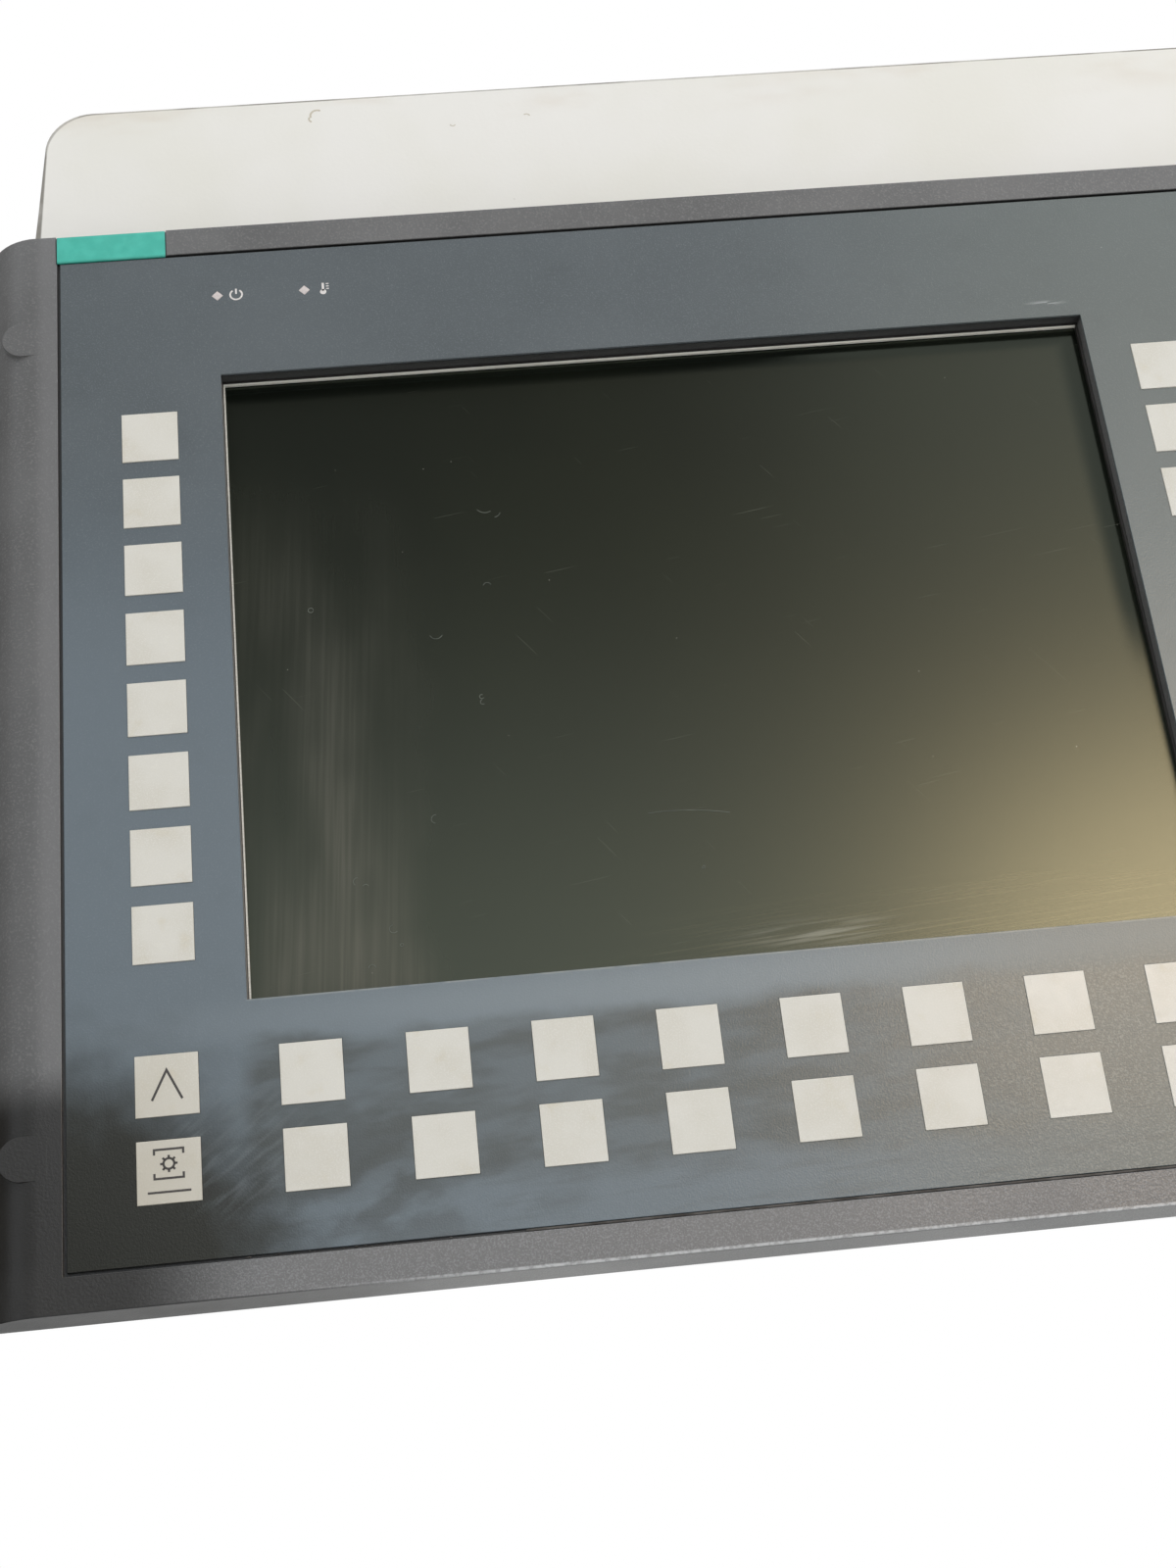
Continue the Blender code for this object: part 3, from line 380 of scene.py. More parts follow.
def bezel_plastic():
    """Plastic with a fine eroded grain, rubbed on the lower strip, with painted shade in the lower left
    corner, in the groove, on the recess's top wall and under the bottom edge, a painted highlight along
    the bottom edge and painted light on the left rail's inner edge.
    """
    f = Finish("bezel_plastic", 0.4, Specular_IOR_Level=0.5, Specular_Tint=(0.86, 0.93, 1.0, 1.0))
    left, bottom = BEZEL_LOW.x, BEZEL_LOW.z
    grain = f.noise(0.0006, 3.0)
    clouds = f.noise(0.04, 4.0)
    f.ground(f.ramp(clouds, 0.3, 0.7), (94, 94, 94), (102, 102, 102))
    f.paint((113, 113, 113), f.ramp(grain, 0.5, 0.7))
    lower = f.along("Z", 0.014, 0.008, bottom)
    # Lighter on the right part of the lower strip, and painted light along the inner edge of the left
    # rail.
    pale = f.times(lower, f.along("X", SCREEN_RIGHT, SCREEN_MID.x))
    inner = f.within("X", FOIL_LOW.x - 0.004, FOIL_LOW.x, 0.004)
    f.paint((122, 122, 123), f.math("MAXIMUM", pale, inner), 0.45)
    f.paint((146, 147, 149), lower, f.ramp(f.noise(0.00045), 0.5, 0.62), 0.45)
    # Painted shade: the lower left corner darkened almost to black.
    corner = f.times(f.along("X", 0.07, 0.035, left), f.along("Z", 0.062, 0.048, bottom))
    f.paint((26, 23, 18), corner, 0.93)
    # Painted highlight: a pale line along the rounded bottom front edge, stronger in patches.
    rim = f.times(f.along("Z", 0.0009, 0.0005, bottom), f.along("X", 0.06, 0.14, left))
    shine = f.blend(f.ramp(f.noise(0.0012, 3.0), 0.35, 0.6), 0.35, 0.8)
    f.paint((196, 198, 200), rim, f.along("Y", 0.0005, 0.0002, FRONT), shine)
    # Painted shade: a dark line just behind that highlight, on the rounded edge and the underside.
    under = f.times(f.along("Y", 0.0004, 0.0006, FRONT), f.along("Y", 0.0016, 0.0012, FRONT))
    f.paint((34, 34, 38), rim, under, 0.8)
    # Painted shade: the underside darkened at its left end.
    beneath = f.times(f.along("Z", 0.0005, 0.0002, bottom), f.along("X", 0.13, 0.05, left))
    f.paint((28, 27, 25), beneath, 0.8)
    # Painted shade: the deeper part of the groove round the foil darkened.
    rings = []
    for reach in (GROOVE_WIDTH + 0.0002, -GROOVE_WIDTH):
        rings.append(f.times(f.within("X", FOIL_LOW.x - reach, FOIL_HIGH.x + reach),
                             f.within("Z", FOIL_LOW.z - reach, FOIL_HIGH.z + reach)))
    groove = f.math("SUBTRACT", *rings)
    f.paint((18, 17, 16), groove, f.along("Y", 0.0002, 0.0005, FRONT), 0.85)
    # Painted shade: the top wall of the screen recess darkened.
    lintel = f.times(f.within("X", SCREEN_LEFT - 0.001, SCREEN_RIGHT + 0.001),
                     f.within("Z", SCREEN_TOP - 0.0006, SCREEN_TOP + 0.004))
    f.paint((20, 20, 21), lintel, f.along("Y", 0.0004, 0.0008, FRONT), 0.75)
    f.bump(grain, 0.00006)
    f.bump(f.noise(0.0016), 0.00002)
    f.done(f.blend(f.ramp(clouds, 0.35, 0.7), 0.36, 0.46))


def foil_film():
    """Satin printed film: fine grain, a lighter band below the screen, darker where hands have wiped it;
    painted light lower down, painted shade in the lower left corner and a painted highlight under the
    screen.
    """
    f = Finish("foil_film", 0.3, Specular_IOR_Level=0.45, Specular_Tint=(0.93, 1.0, 0.96, 1.0))
    grain = f.noise(0.00045)
    f.ground(f.ramp(f.noise(0.06, 3.0), 0.3, 0.7), (84, 91, 96), (91, 98, 103))
    f.paint((106, 113, 118), f.ramp(grain, 0.5, 0.8))
    # Painted light: the film made lighter and bluer from the top of the screen downwards.
    f.paint((108, 121, 132), f.along("Z", SCREEN_TOP, SCREEN_TOP - 0.11), 0.6)
    # A lighter band along the foil below the screen.
    veil = f.near((SCREEN_MID.x - 0.02, FOIL_FRONT, SCREEN_BOTTOM - 0.006), (0.18, 0.01, 0.012))
    f.paint((128, 138, 145), veil, 0.65)
    f.paint((99, 107, 104), f.along("X", SCREEN_MID.x, SCREEN_RIGHT + 0.02), 0.5)
    sway = f.drift(0.018, 3.0, 0.01)
    height = f.math("ADD", f.axis("Z"), sway)
    across = f.math("ADD", f.axis("X"), sway)
    wiped = f.times(f.ramp(height, UPPER_ROW_TOP + 0.0035, UPPER_ROW_TOP - 0.0015),
                    f.ramp(height, LOWER_ROW_BOTTOM - 0.006, LOWER_ROW_BOTTOM + 0.002),
                    f.ramp(across, ROW_LEFT - 0.012, ROW_LEFT - 0.005),
                    f.along("X", SCREEN_RIGHT + 0.03, SCREEN_MID.x - 0.01),
                    f.blend(f.ramp(f.noise(0.006, 3.0, f.turned(4.0, 3.5)), 0.36, 0.64), 0.45, 1.0))
    f.paint((64, 68, 69), wiped, 0.85)
    handled = f.times(f.along("X", SCREEN_MID.x - 0.02, SCREEN_RIGHT - 0.02),
                      f.along("Z", -0.004, -0.014, SCREEN_BOTTOM))
    f.paint((82, 85, 83), handled, 0.4)
    f.paint((146, 149, 146), handled, f.ramp(f.noise(0.0006), 0.5, 0.64), 0.35)
    streaks = f.ramp(f.noise(0.0035, 3.0, f.turned(3.0, 7.0)), 0.48, 0.7)
    f.paint((74, 78, 82), streaks, f.along("Z", 0.002, -0.006, LOWER_ROW_BOTTOM), 0.35)
    smudge = f.ramp(f.noise(0.009, 4.0, f.turned(12.0, 2.0)), 0.42, 0.62)
    pressed = f.near((ROW_LEFT + 0.022, FOIL_FRONT, LOWER_ROW_BOTTOM + 0.004), (0.075, 0.02, 0.04))
    f.paint((62, 66, 68), smudge, pressed, 0.75)
    # Painted shade: the lower left corner darkened almost to black, with a ragged edge.
    corner = f.near((FOIL_LOW.x - 0.01, FOIL_FRONT, FOIL_LOW.z - 0.01), (0.095, 0.03, 0.09))
    f.paint((19, 18, 14), f.ramp(f.math("ADD", corner, f.drift(0.011, 4.0, 0.35)), 0.0, 0.55))
    rub = f.ramp(f.noise(0.0016, 3.0, f.turned(38.0, 7.0)), 0.42, 0.72)
    patch = f.near((SCREEN_LEFT - 0.004, FOIL_FRONT, SCREEN_BOTTOM - 0.036), (0.026, 0.01, 0.026))
    f.paint((110, 117, 122), rub, f.ramp(patch, 0.0, 0.6), 0.28)
    scuff = f.near((SCREEN_RIGHT - 0.0095, FOIL_FRONT, SCREEN_TOP + 0.0048), (0.0075, 0.01, 0.0012))
    f.paint((186, 190, 192), f.scratches(4.0, 0.0006, 0.006, 0.52), scuff, 0.5)
    f.paint((160, 164, 166), f.specks(0.014, 0.00028, 0.4), 0.45)
    # Painted highlight: a pale line along the foil's edge under the screen.
    sill = f.times(f.along("Z", -0.0006, -0.0003, SCREEN_BOTTOM),
                   f.along("Z", 0.0004, 0.0002, SCREEN_BOTTOM),
                   f.within("X", SCREEN_LEFT, SCREEN_RIGHT, 0.0004))
    f.paint((178, 178, 172), sill, f.ramp(f.noise(0.006, 4.0), 0.3, 0.6), 0.3)
    f.bump(grain, 0.00004)
    f.bump(f.noise(0.012), 0.00002)
    f.done(f.blend(wiped, 0.34, 0.28))


def key_film():
    """Warm white print under a grained film, a little yellowed in places, with painted shade at the lower
    left.
    """
    f = Finish("key_film", 0.24, Specular_IOR_Level=0.14)
    grain = f.noise(0.0004)
    f.ground(f.ramp(f.noise(0.012), 0.35, 0.7), (220, 218, 210), (214, 211, 201))
    f.paint((224, 222, 215), f.ramp(grain, 0.45, 0.75))
    f.paint((198, 186, 152), f.ramp(f.noise(0.006, 3.0), 0.6, 0.8), 0.22)
    # Painted shade: the keys darkened towards the lower left corner.
    f.paint((180, 172, 154), f.near((FOIL_LOW.x, FOIL_FRONT, FOIL_LOW.z), (0.075, 0.03, 0.09)), 0.75)
    f.paint((120, 108, 88), f.specks(0.006, 0.00022, 0.2), 0.4)
    f.bump(grain, 0.000012)
    f.bump(f.noise(0.006, 1.0), 0.00003)
    f.done(f.blend(f.noise(0.003, 3.0), 0.2, 0.32))


def plate_paint():
    """Pale powder paint with faint brown marks, a few specks and a painted shade line along the upstand's
    eased edge.
    """
    f = Finish("plate_paint", 0.5)
    f.ground(f.ramp(f.noise(0.06, 3.0), 0.35, 0.7), (231, 230, 226), (227, 226, 219))
    edge = f.math("MAXIMUM", f.along("Z", *UPPER_STAIN), f.along("Z", *LOWER_STAIN))
    f.paint((200, 184, 162), edge, f.ramp(f.noise(0.03, 4.0, f.turned(0.0, 3.0)), 0.5, 0.68), 0.45)
    lean = f.times(f.math("SUBTRACT", f.axis("Z"), PLATE_HIGH.z), UPSTAND_LEAN)
    aside = f.math("ADD", f.math("ABSOLUTE", f.axis("X")), lean)
    aside = f.math("SUBTRACT", aside, BEZEL_HIGH.x - UPSTAND_INSET - UPSTAND_CORNER)
    above = f.math("SUBTRACT", f.axis("Z"), PLATE_HIGH.z - UPSTAND_CORNER)
    past = [f.math("MAXIMUM", distance, 0.0) for distance in (aside, above)]
    reach = f.math("SQRT", f.math("ADD", *[f.times(distance, distance) for distance in past]))
    # Painted shade: a dark line along the eased edge of the upstand.
    line = f.times(f.ramp(reach, UPSTAND_CORNER - 0.0009, UPSTAND_CORNER - 0.0004),
                   f.along("Y", 0.0024, 0.0018, PLATE_LOW.y))
    f.paint((112, 109, 102), line, f.blend(f.ramp(f.noise(0.02, 3.0), 0.4, 0.6), 0.5, 0.9))
    f.paint((186, 184, 178), f.specks(0.009, 0.0005, 0.22), 0.25)
    f.bump(f.noise(0.0012), 0.00003)
    f.done(f.blend(f.noise(0.02), 0.42, 0.55))


def badge_enamel():
    f = Finish("badge_enamel", 0.32)
    f.ground(f.ramp(f.noise(0.004, 3.0), 0.35, 0.7), (62, 180, 163), (70, 189, 172))
    # Painted shade: the badge darker along its lower edge.
    f.paint((34, 128, 112), f.along("Z", 0.0009, 0.0001, BADGE_LOW.z), 0.5)
    f.bump(f.noise(0.0008), 0.00001)
    f.done(f.blend(f.noise(0.002), 0.28, 0.4))


def pane_glass():
    """Dark anti-glare pane with fine dust, hair scratches, wiped smears and a smooth border."""
    f = Finish("pane_glass", 0.27, Specular_IOR_Level=0.44, Specular_Tint=(0.87, 1.0, 0.81, 1.0))
    f.ground(f.ramp(f.noise(0.09, 3.0), 0.3, 0.7), (9, 12, 9), (16, 19, 13))
    broad = f.ramp(f.noise(0.022, 2.0, f.turned(86.0, 3.0)), 0.2, 0.7)
    fine = f.blend(f.ramp(f.noise(0.0011, 3.0, f.turned(86.0, 45.0)), 0.35, 0.7), 0.6, 1.0)
    lean = f.math("ADD", f.axis("X"), f.drift(0.03, 2.0, 0.02))
    side = f.ramp(lean, SCREEN_LEFT + 0.054, SCREEN_LEFT + 0.026)
    veil = f.times(broad, fine, side, f.along("Z", SCREEN_TOP - 0.02, SCREEN_BOTTOM + 0.02))
    f.paint((86, 84, 78), veil, 0.9)
    hair = f.math("MAXIMUM", f.scratches(9.0, 0.00035, 0.03, 0.79), f.scratches(-52.0, 0.0003, 0.02, 0.8))
    f.paint((110, 112, 102), hair, 0.3)
    brushed = f.ramp(f.noise(0.0005, 4.0, f.turned(4.0, 50.0)), 0.48, 0.75)
    lower = f.near((SCREEN_RIGHT - 0.05, PANE_FRONT, SCREEN_BOTTOM - 0.004), (0.15, 0.01, 0.03))
    f.paint((126, 118, 92), brushed, lower, 0.4)
    dust = f.math("MAXIMUM", f.specks(0.008, 0.00022, 0.35), f.specks(0.021, 0.0004, 0.4))
    settled = f.blend(f.along("Z", 0.1, 0.02, SCREEN_BOTTOM), 0.4, 0.85)
    f.paint((176, 175, 164), dust, settled)
    wipe = f.ramp(f.noise(0.0009, 3.0, f.turned(4.0, 30.0)), 0.4, 0.65)
    sill = f.near((SCREEN_LEFT + 0.146, PANE_FRONT, SCREEN_BOTTOM + 0.006), (0.03, 0.01, 0.005))
    f.paint((150, 149, 140), wipe, sill, 0.55)
    f.bump(f.noise(0.0005), 0.000006)
    right = f.times(f.along("X", -0.009, -0.003, SCREEN_RIGHT),
                    f.along("Z", 0.06, 0.1, SCREEN_BOTTOM))
    border = f.math("MAXIMUM", right, f.along("Z", -0.008, -0.004, SCREEN_TOP))
    f.done(f.blend(border, f.blend(veil, 0.27, 0.42), 0.11))


def brushed_steel(name, tone, degrees=0.0, roughness=0.3, metallic=1.0):
    f = Finish(name, roughness, Metallic=metallic)
    lines = f.noise(0.0003, 2.0, f.turned(degrees, 60.0))
    shade = colour(*tone)
    darker = [channel * 0.8 for channel in shade[:3]] + [1.0]
    f.base = f.mix(f.ramp(lines, 0.3, 0.7), darker, shade)
    f.bump(lines, 0.000006)
    f.done(f.blend(f.noise(0.01, 3.0), roughness - 0.06, roughness + 0.1))


def zinc_sheet():
    """Galvanised sheet: crystal spangle, rolling lines and dull handling marks."""
    f = Finish("housing_zinc", 0.4, Metallic=1.0)
    grey = f.cells(0.006)[1]
    f.ground(grey, (186, 188, 188), (199, 201, 201))
    dull = f.ramp(f.noise(0.04, 5.0), 0.5, 0.75)
    f.paint((150, 151, 149), dull, 0.4)
    f.bump(f.noise(0.0005, 1.0, f.turned(90.0, 40.0)), 0.000006)
    f.done(f.math("ADD", f.blend(grey, 0.32, 0.42), f.times(dull, 0.12)))


def moulded(name, dark, light, roughness=0.5, grain=0.0005, depth=0.00002):
    """Plain moulded plastic or rubber with a grain and a slight change of shade."""
    f = Finish(name, roughness)
    texture = f.noise(grain, 2.0)
    f.ground(f.ramp(f.noise(0.006, 3.0), 0.3, 0.7), dark, light)
    f.bump(texture, depth)
    f.done(f.blend(texture, roughness - 0.08, roughness + 0.08))


def laminate(name, dark, light):
    """Circuit board lacquer with faint tracks."""
    f = Finish(name, 0.4)
    tracks = f.ramp(f.noise(0.0012, 0.0, f.turned(90.0, 14.0)), 0.5, 0.54)
    f.ground(tracks, dark, light)
    f.bump(tracks, 0.00003)
    f.done(f.blend(f.noise(0.003), 0.32, 0.48))


def lamp_window():
    f = Finish("light_guide", 0.3)
    f.ground(f.ramp(f.noise(0.0008), 0.35, 0.7), (214, 206, 204), (202, 193, 191))
    f.bump(f.noise(0.0004, 1.0), 0.00001)
    f.done(f.blend(f.noise(0.001, 1.0), 0.22, 0.36))


def print_ink(name, dark, light):
    f = Finish(name, 0.5)
    worn = f.ramp(f.noise(0.0006, 3.0), 0.4, 0.75)
    f.ground(worn, dark, light)
    f.bump(f.noise(0.0003, 1.0), 0.000006)
    f.done(f.blend(worn, 0.42, 0.56))


bezel_plastic()
foil_film()
key_film()
plate_paint()
badge_enamel()
pane_glass()
lamp_window()
moulded("seal_rubber", (30, 29, 28), (42, 40, 38), 0.55)
brushed_steel("display_steel", (236, 236, 228), 0.0, 0.42, 0.2)
brushed_steel("support_steel", (178, 178, 174), 90.0, 0.36)
brushed_steel("screw_steel", (190, 190, 186), 0.0, 0.28)
zinc_sheet()
moulded("gasket_foam", (26, 26, 26), (36, 36, 35), 0.8, 0.0008, 0.0001)
moulded("dome_film", (186, 188, 186), (200, 201, 198), 0.45)
laminate("board_laminate", (22, 84, 52), (34, 104, 66))
moulded("backlight_casing", (214, 214, 210), (226, 226, 222))
moulded("ribbon_grey", (160, 160, 160), (174, 174, 173), 0.55)
print_ink("key_ink", (52, 50, 50), (70, 67, 66))
print_ink("foil_ink", (224, 220, 218), (204, 200, 198))
moulded("port_plastic", (28, 30, 30), (38, 40, 40), 0.42)
moulded("terminal_green", (40, 120, 70), (50, 134, 80), 0.42)
brushed_steel("contact_brass", (206, 178, 112), 90.0, 0.3)
brushed_steel("tag_aluminium", (206, 208, 209), 0.0, 0.36)
moulded("groove_dirt", (46, 44, 42), (94, 92, 89), 0.7, 0.0004, 0.00006)
moulded("mark_brown", (170, 160, 142), (196, 188, 172), 0.6)
moulded("lint_grey", (84, 91, 86), (112, 118, 110), 0.8)


# Meshes

def nodes_named(part):
    return [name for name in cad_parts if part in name]


def add_object(name, bm, finish=None):
    mesh = bpy.data.meshes.new(name)
    bm.to_mesh(mesh)
    bm.free()
    if finish:
        mesh.materials.append(MATERIALS[finish])
    made = bpy.data.objects.new(name, mesh)
    bpy.context.scene.collection.objects.link(made)
    return made


def new_piece(name, bm, finish, body="panel", replaced=(), smooth=None):
    """Puts a mesh in the scene, with its finish, on its body."""
    bmesh.ops.recalc_face_normals(bm, faces=bm.faces)
    piece = add_object(name, bm, finish)
    mesh = piece.data
    stored = mesh.attributes.get("custom_normal")
    if stored:
        mesh.attributes.remove(stored)
    if smooth is not None:
        mesh.shade_smooth()
        mesh.set_sharp_from_angle(angle=math.radians(smooth))
    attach(piece, body)
    if replaced:
        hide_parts(*replaced)
    return piece


def flat_shading(piece):
    """Keeps broad faces flat beside small rounded edges."""
    piece.modifiers.new("weighted_normals", "WEIGHTED_NORMAL").keep_sharp = True


def loft(bm, rings, looped=False):
    """Skin over rings of points, closed at its ends or looped back to the first ring."""
    loops = [[bm.verts.new(point) for point in ring] for ring in rings]
    count = len(loops[0])
    for first, second in zip(loops, loops[1:] + loops[:looped]):
        for i in range(count):
            j = (i + 1) % count
            bm.faces.new((first[i], first[j], second[j], second[i]))
    if not looped:
        bm.faces.new(loops[0][::-1])
        bm.faces.new(loops[-1])


def lathe(bm, profile, centre, axis="Y", sides=PLUG_SIDES, looped=False):
    """Turned solid: profile holds (radius, distance along the axis) from its centre."""
    rings = []
    for radius, along in profile:
        ring = []
        for i in range(sides):
            turn = 2 * math.pi * i / sides
            across = Vector((radius * math.cos(turn), along, radius * math.sin(turn)))
            if axis == "Z":
                across = Vector((across.x, across.z, along))
            ring.append(Vector(centre) + across)
        rings.append(ring)
    loft(bm, rings, looped)


def cuboid(bm, low, high, edge=0.0, segments=2):
    made = bmesh.ops.create_cube(bm, size=1.0)["verts"]
    low = Vector(low)
    size = Vector(high) - low
    for vert in made:
        vert.co = Vector([low[i] + (vert.co[i] + 0.5) * size[i] for i in range(3)])
    if edge:
        edges = list({e for v in made for e in v.link_edges})
        bmesh.ops.bevel(bm, geom=edges, offset=edge, segments=segments, profile=0.5, affect="EDGES")


def stroke(bm, points, width, front, thick=PRINT_THICK, closed=False):
    """Flat line of even width through points in the XZ plane, with mitred corners."""
    line = [Vector(point) for point in points]
    ways = [(after - point).normalized() for point, after in zip(line, line[1:] + line[:1])]
    if not closed:
        ways[-1] = ways[-2]
    rings = []
    for i, point in enumerate(line):
        first = ways[i - 1] if i or closed else ways[0]
        along = (first + ways[i]).normalized()
        side = Vector((-along.y, along.x)) * (width / 2 / max(MITRE_LIMIT, along.dot(first)))
        a = point + side
        b = point - side
        corners = ((a, front - thick), (b, front - thick), (b, front), (a, front))
        rings.append([(p.x, y, p.y) for p, y in corners])
    loft(bm, rings, closed)


def arc_points(x, z, radius, start, end, steps):
    turns = [math.radians(start + (end - start) * i / steps) for i in range(steps + 1)]
    return [(x + radius * math.cos(turn), z + radius * math.sin(turn)) for turn in turns]


def solid_copy(node):
    """The solid's own mesh, with its flat faces joined up again."""
    bm = bmesh.new()
    bm.from_mesh(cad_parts[node].data)
    bmesh.ops.remove_doubles(bm, verts=bm.verts, dist=1e-6)
    bmesh.ops.dissolve_limit(bm, angle_limit=math.radians(0.2), verts=bm.verts, edges=bm.edges)
    return bm


def soften(bm, edges, width, segments=2):
    bmesh.ops.bevel(bm, geom=list(edges), offset=width, segments=segments, profile=0.5,
                    affect="EDGES", clamp_overlap=True)


def edges_at(bm, y, lowest=-math.inf):
    """Sharp edges at one depth, above a height."""
    limit = math.radians(SHARP_DEGREES)
    sharp = [e for e in bm.edges if len(e.link_faces) == 2 and e.calc_face_angle() > limit]
    return [e for e in sharp if all(abs(v.co.y - y) < 1e-5 and v.co.z > lowest for v in e.verts)]


def carve(piece, bm):
    bmesh.ops.recalc_face_normals(bm, faces=bm.faces)
    cutter = add_object("carve_shapes", bm)
    shapes = cutter.data
    change = piece.modifiers.new("carve", "BOOLEAN")
    change.operation = "DIFFERENCE"
    change.solver = "EXACT"
    change.object = cutter
    graph = bpy.context.evaluated_depsgraph_get()
    result = bpy.data.meshes.new_from_object(piece.evaluated_get(graph), depsgraph=graph)
    piece.modifiers.remove(change)
    piece.data = result
    result.shade_smooth()
    result.set_sharp_from_angle(angle=math.radians(15))
    bpy.data.objects.remove(cutter)
    bpy.data.meshes.remove(shapes)


# Front pieces

def round_flanks(mesh):
    """Normals of a true cylinder on the two round flanks, and of the face on broad flat faces."""
    normals = [corner.vector.copy() for corner in mesh.corner_normals]
    middle_y = FRONT + FLANK_RADIUS
    for polygon in mesh.polygons:
        side = math.copysign(1.0, polygon.normal.x)
        edge = BEZEL_HIGH.x if side > 0 else BEZEL_LOW.x
        middle = Vector((edge - side * FLANK_RADIUS, middle_y, 0.0))
        spokes = []
        for index in polygon.vertices:
            spoke = mesh.vertices[index].co - middle
            spoke.z = 0.0
            spokes.append(spoke)
        upright = abs(polygon.normal.z) < 0.05
        outward = polygon.normal.x * side > 0.01 and polygon.normal.y < -0.01
        if upright and outward and all(abs(s.length - FLANK_RADIUS) < FLANK_PLAY for s in spokes):
            for loop, spoke in zip(polygon.loop_indices, spokes):
                normals[loop] = spoke.normalized()
        elif polygon.area > BROAD_FACE:
            for loop in polygon.loop_indices:
                normals[loop] = polygon.normal.copy()
    mesh.normals_split_custom_set(normals)


def make_bezel():
    """The moulding, with its recess and bore rims eased."""
    bm = solid_copy("front_bezel")
    soften(bm, [e for e in edges_at(bm, FRONT) if e.calc_length() > RIM_SHORTEST], RECESS_EDGE)
    piece = new_piece("bezel_moulding", bm, "bezel_plastic", replaced=["front_bezel"],
                      smooth=40)
    round_flanks(piece.data)


def foil_windows():
    """Low and high corner, in x and z, of each opening with straight sides."""
    windows = [(SCREEN_LEFT, SCREEN_BOTTOM, SCREEN_RIGHT, SCREEN_TOP)]
    for name in nodes_named("_key_"):
        low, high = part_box(name)
        windows.append((low.x - KEY_GAP, low.z - KEY_GAP, high.x + KEY_GAP, high.z + KEY_GAP))
    return windows


def lamp_places():
    z = (GUIDE_LOW.z + GUIDE_HIGH.z) / 2
    return [(GUIDE_LOW.x + INDICATOR_END, z), (GUIDE_HIGH.x - INDICATOR_END, z)]


def cell_lines(low, high, marks):
    """Grid lines between two ends, through all marks, without doubles."""
    lines = [low]
    for mark in sorted(marks):
        if mark - lines[-1] > 1e-6 and high - mark > 1e-6:
            lines.append(mark)
    return lines + [high]


def make_foil():
    """One sheet of film: a net of faces that leaves the windows and the lamp diamonds open."""
    half = INDICATOR_DIAGONAL / 2 + INDICATOR_GAP
    boxes = [(x - 2 * half, z - 2 * half, x + 2 * half, z + 2 * half) for x, z in lamp_places()]
    holes = foil_windows() + boxes
    xs = cell_lines(FOIL_LOW.x, FOIL_HIGH.x, [v for hole in holes for v in hole[::2]])
    zs = cell_lines(FOIL_LOW.z, FOIL_HIGH.z, [v for hole in holes for v in hole[1::2]])
    bm = bmesh.new()
    verts = {}

    def corner(x, z):
        key = (round(x, 7), round(z, 7))
        if key not in verts:
            verts[key] = bm.verts.new((x, FOIL_FRONT, z))
        return verts[key]

    for x0, x1 in zip(xs, xs[1:]):
        for z0, z1 in zip(zs, zs[1:]):
            x = (x0 + x1) / 2
            z = (z0 + z1) / 2
            if not any(hole[0] < x < hole[2] and hole[1] < z < hole[3] for hole in holes):
                bm.faces.new([corner(x0, z0), corner(x1, z0), corner(x1, z1), corner(x0, z1)])
    for (x, z), (x0, z0, x1, z1) in zip(lamp_places(), boxes):
        outer = [(x0, z0), (x1, z0), (x1, z1), (x0, z1)]
        inner = [(x, z - half), (x + half, z), (x, z + half), (x - half, z)]
        for i in range(4):
            j = (i + 1) % 4
            bm.faces.new([corner(*outer[i]), corner(*outer[j]), corner(*inner[i])])
            bm.faces.new([corner(*outer[j]), corner(*inner[j]), corner(*inner[i])])
    made = bmesh.ops.extrude_face_region(bm, geom=list(bm.faces))["geom"]
    for vert in [v for v in made if isinstance(v, bmesh.types.BMVert)]:
        vert.co.y = FOIL_HIGH.y
    bmesh.ops.recalc_face_normals(bm, faces=bm.faces)
    soften(bm, edges_at(bm, FOIL_FRONT), FOIL_EDGE, 1)
    new_piece("foil_sheet", bm, "foil_film", replaced=["front_foil"])


def make_key(name):
    low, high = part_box(name)
    middle = (low + high) / 2
    half = (high.x - low.x) / 2
    rings = []
    for inset, depth in ((KEY_EDGE, 0.0), (KEY_EASE, KEY_EASE), (0.0, KEY_EDGE), (0.0, KEY_PAD_THICK)):
        reach = half - inset
        corners = ((-reach, -reach), (reach, -reach), (reach, reach), (-reach, reach))
        rings.append([(middle.x + x, low.y + depth, middle.z + z) for x, z in corners])
    bm = bmesh.new()
    loft(bm, rings)
    new_piece(f"{name}_pad", bm, "key_film", body=name, replaced=[name])


def make_badge():
    """Bare enamel plate with an eased edge."""
    bm = bmesh.new()
    cuboid(bm, BADGE_LOW, BADGE_HIGH)
    edges = [e for e in bm.edges if any(abs(v.co.y - BADGE_LOW.y) < 1e-6 for v in e.verts)]
    soften(bm, edges, BADGE_EDGE, 3)
    piece = new_piece("badge_face", bm, "badge_enamel", replaced=["badge_plate"],
                      smooth=50)
    flat_shading(piece)


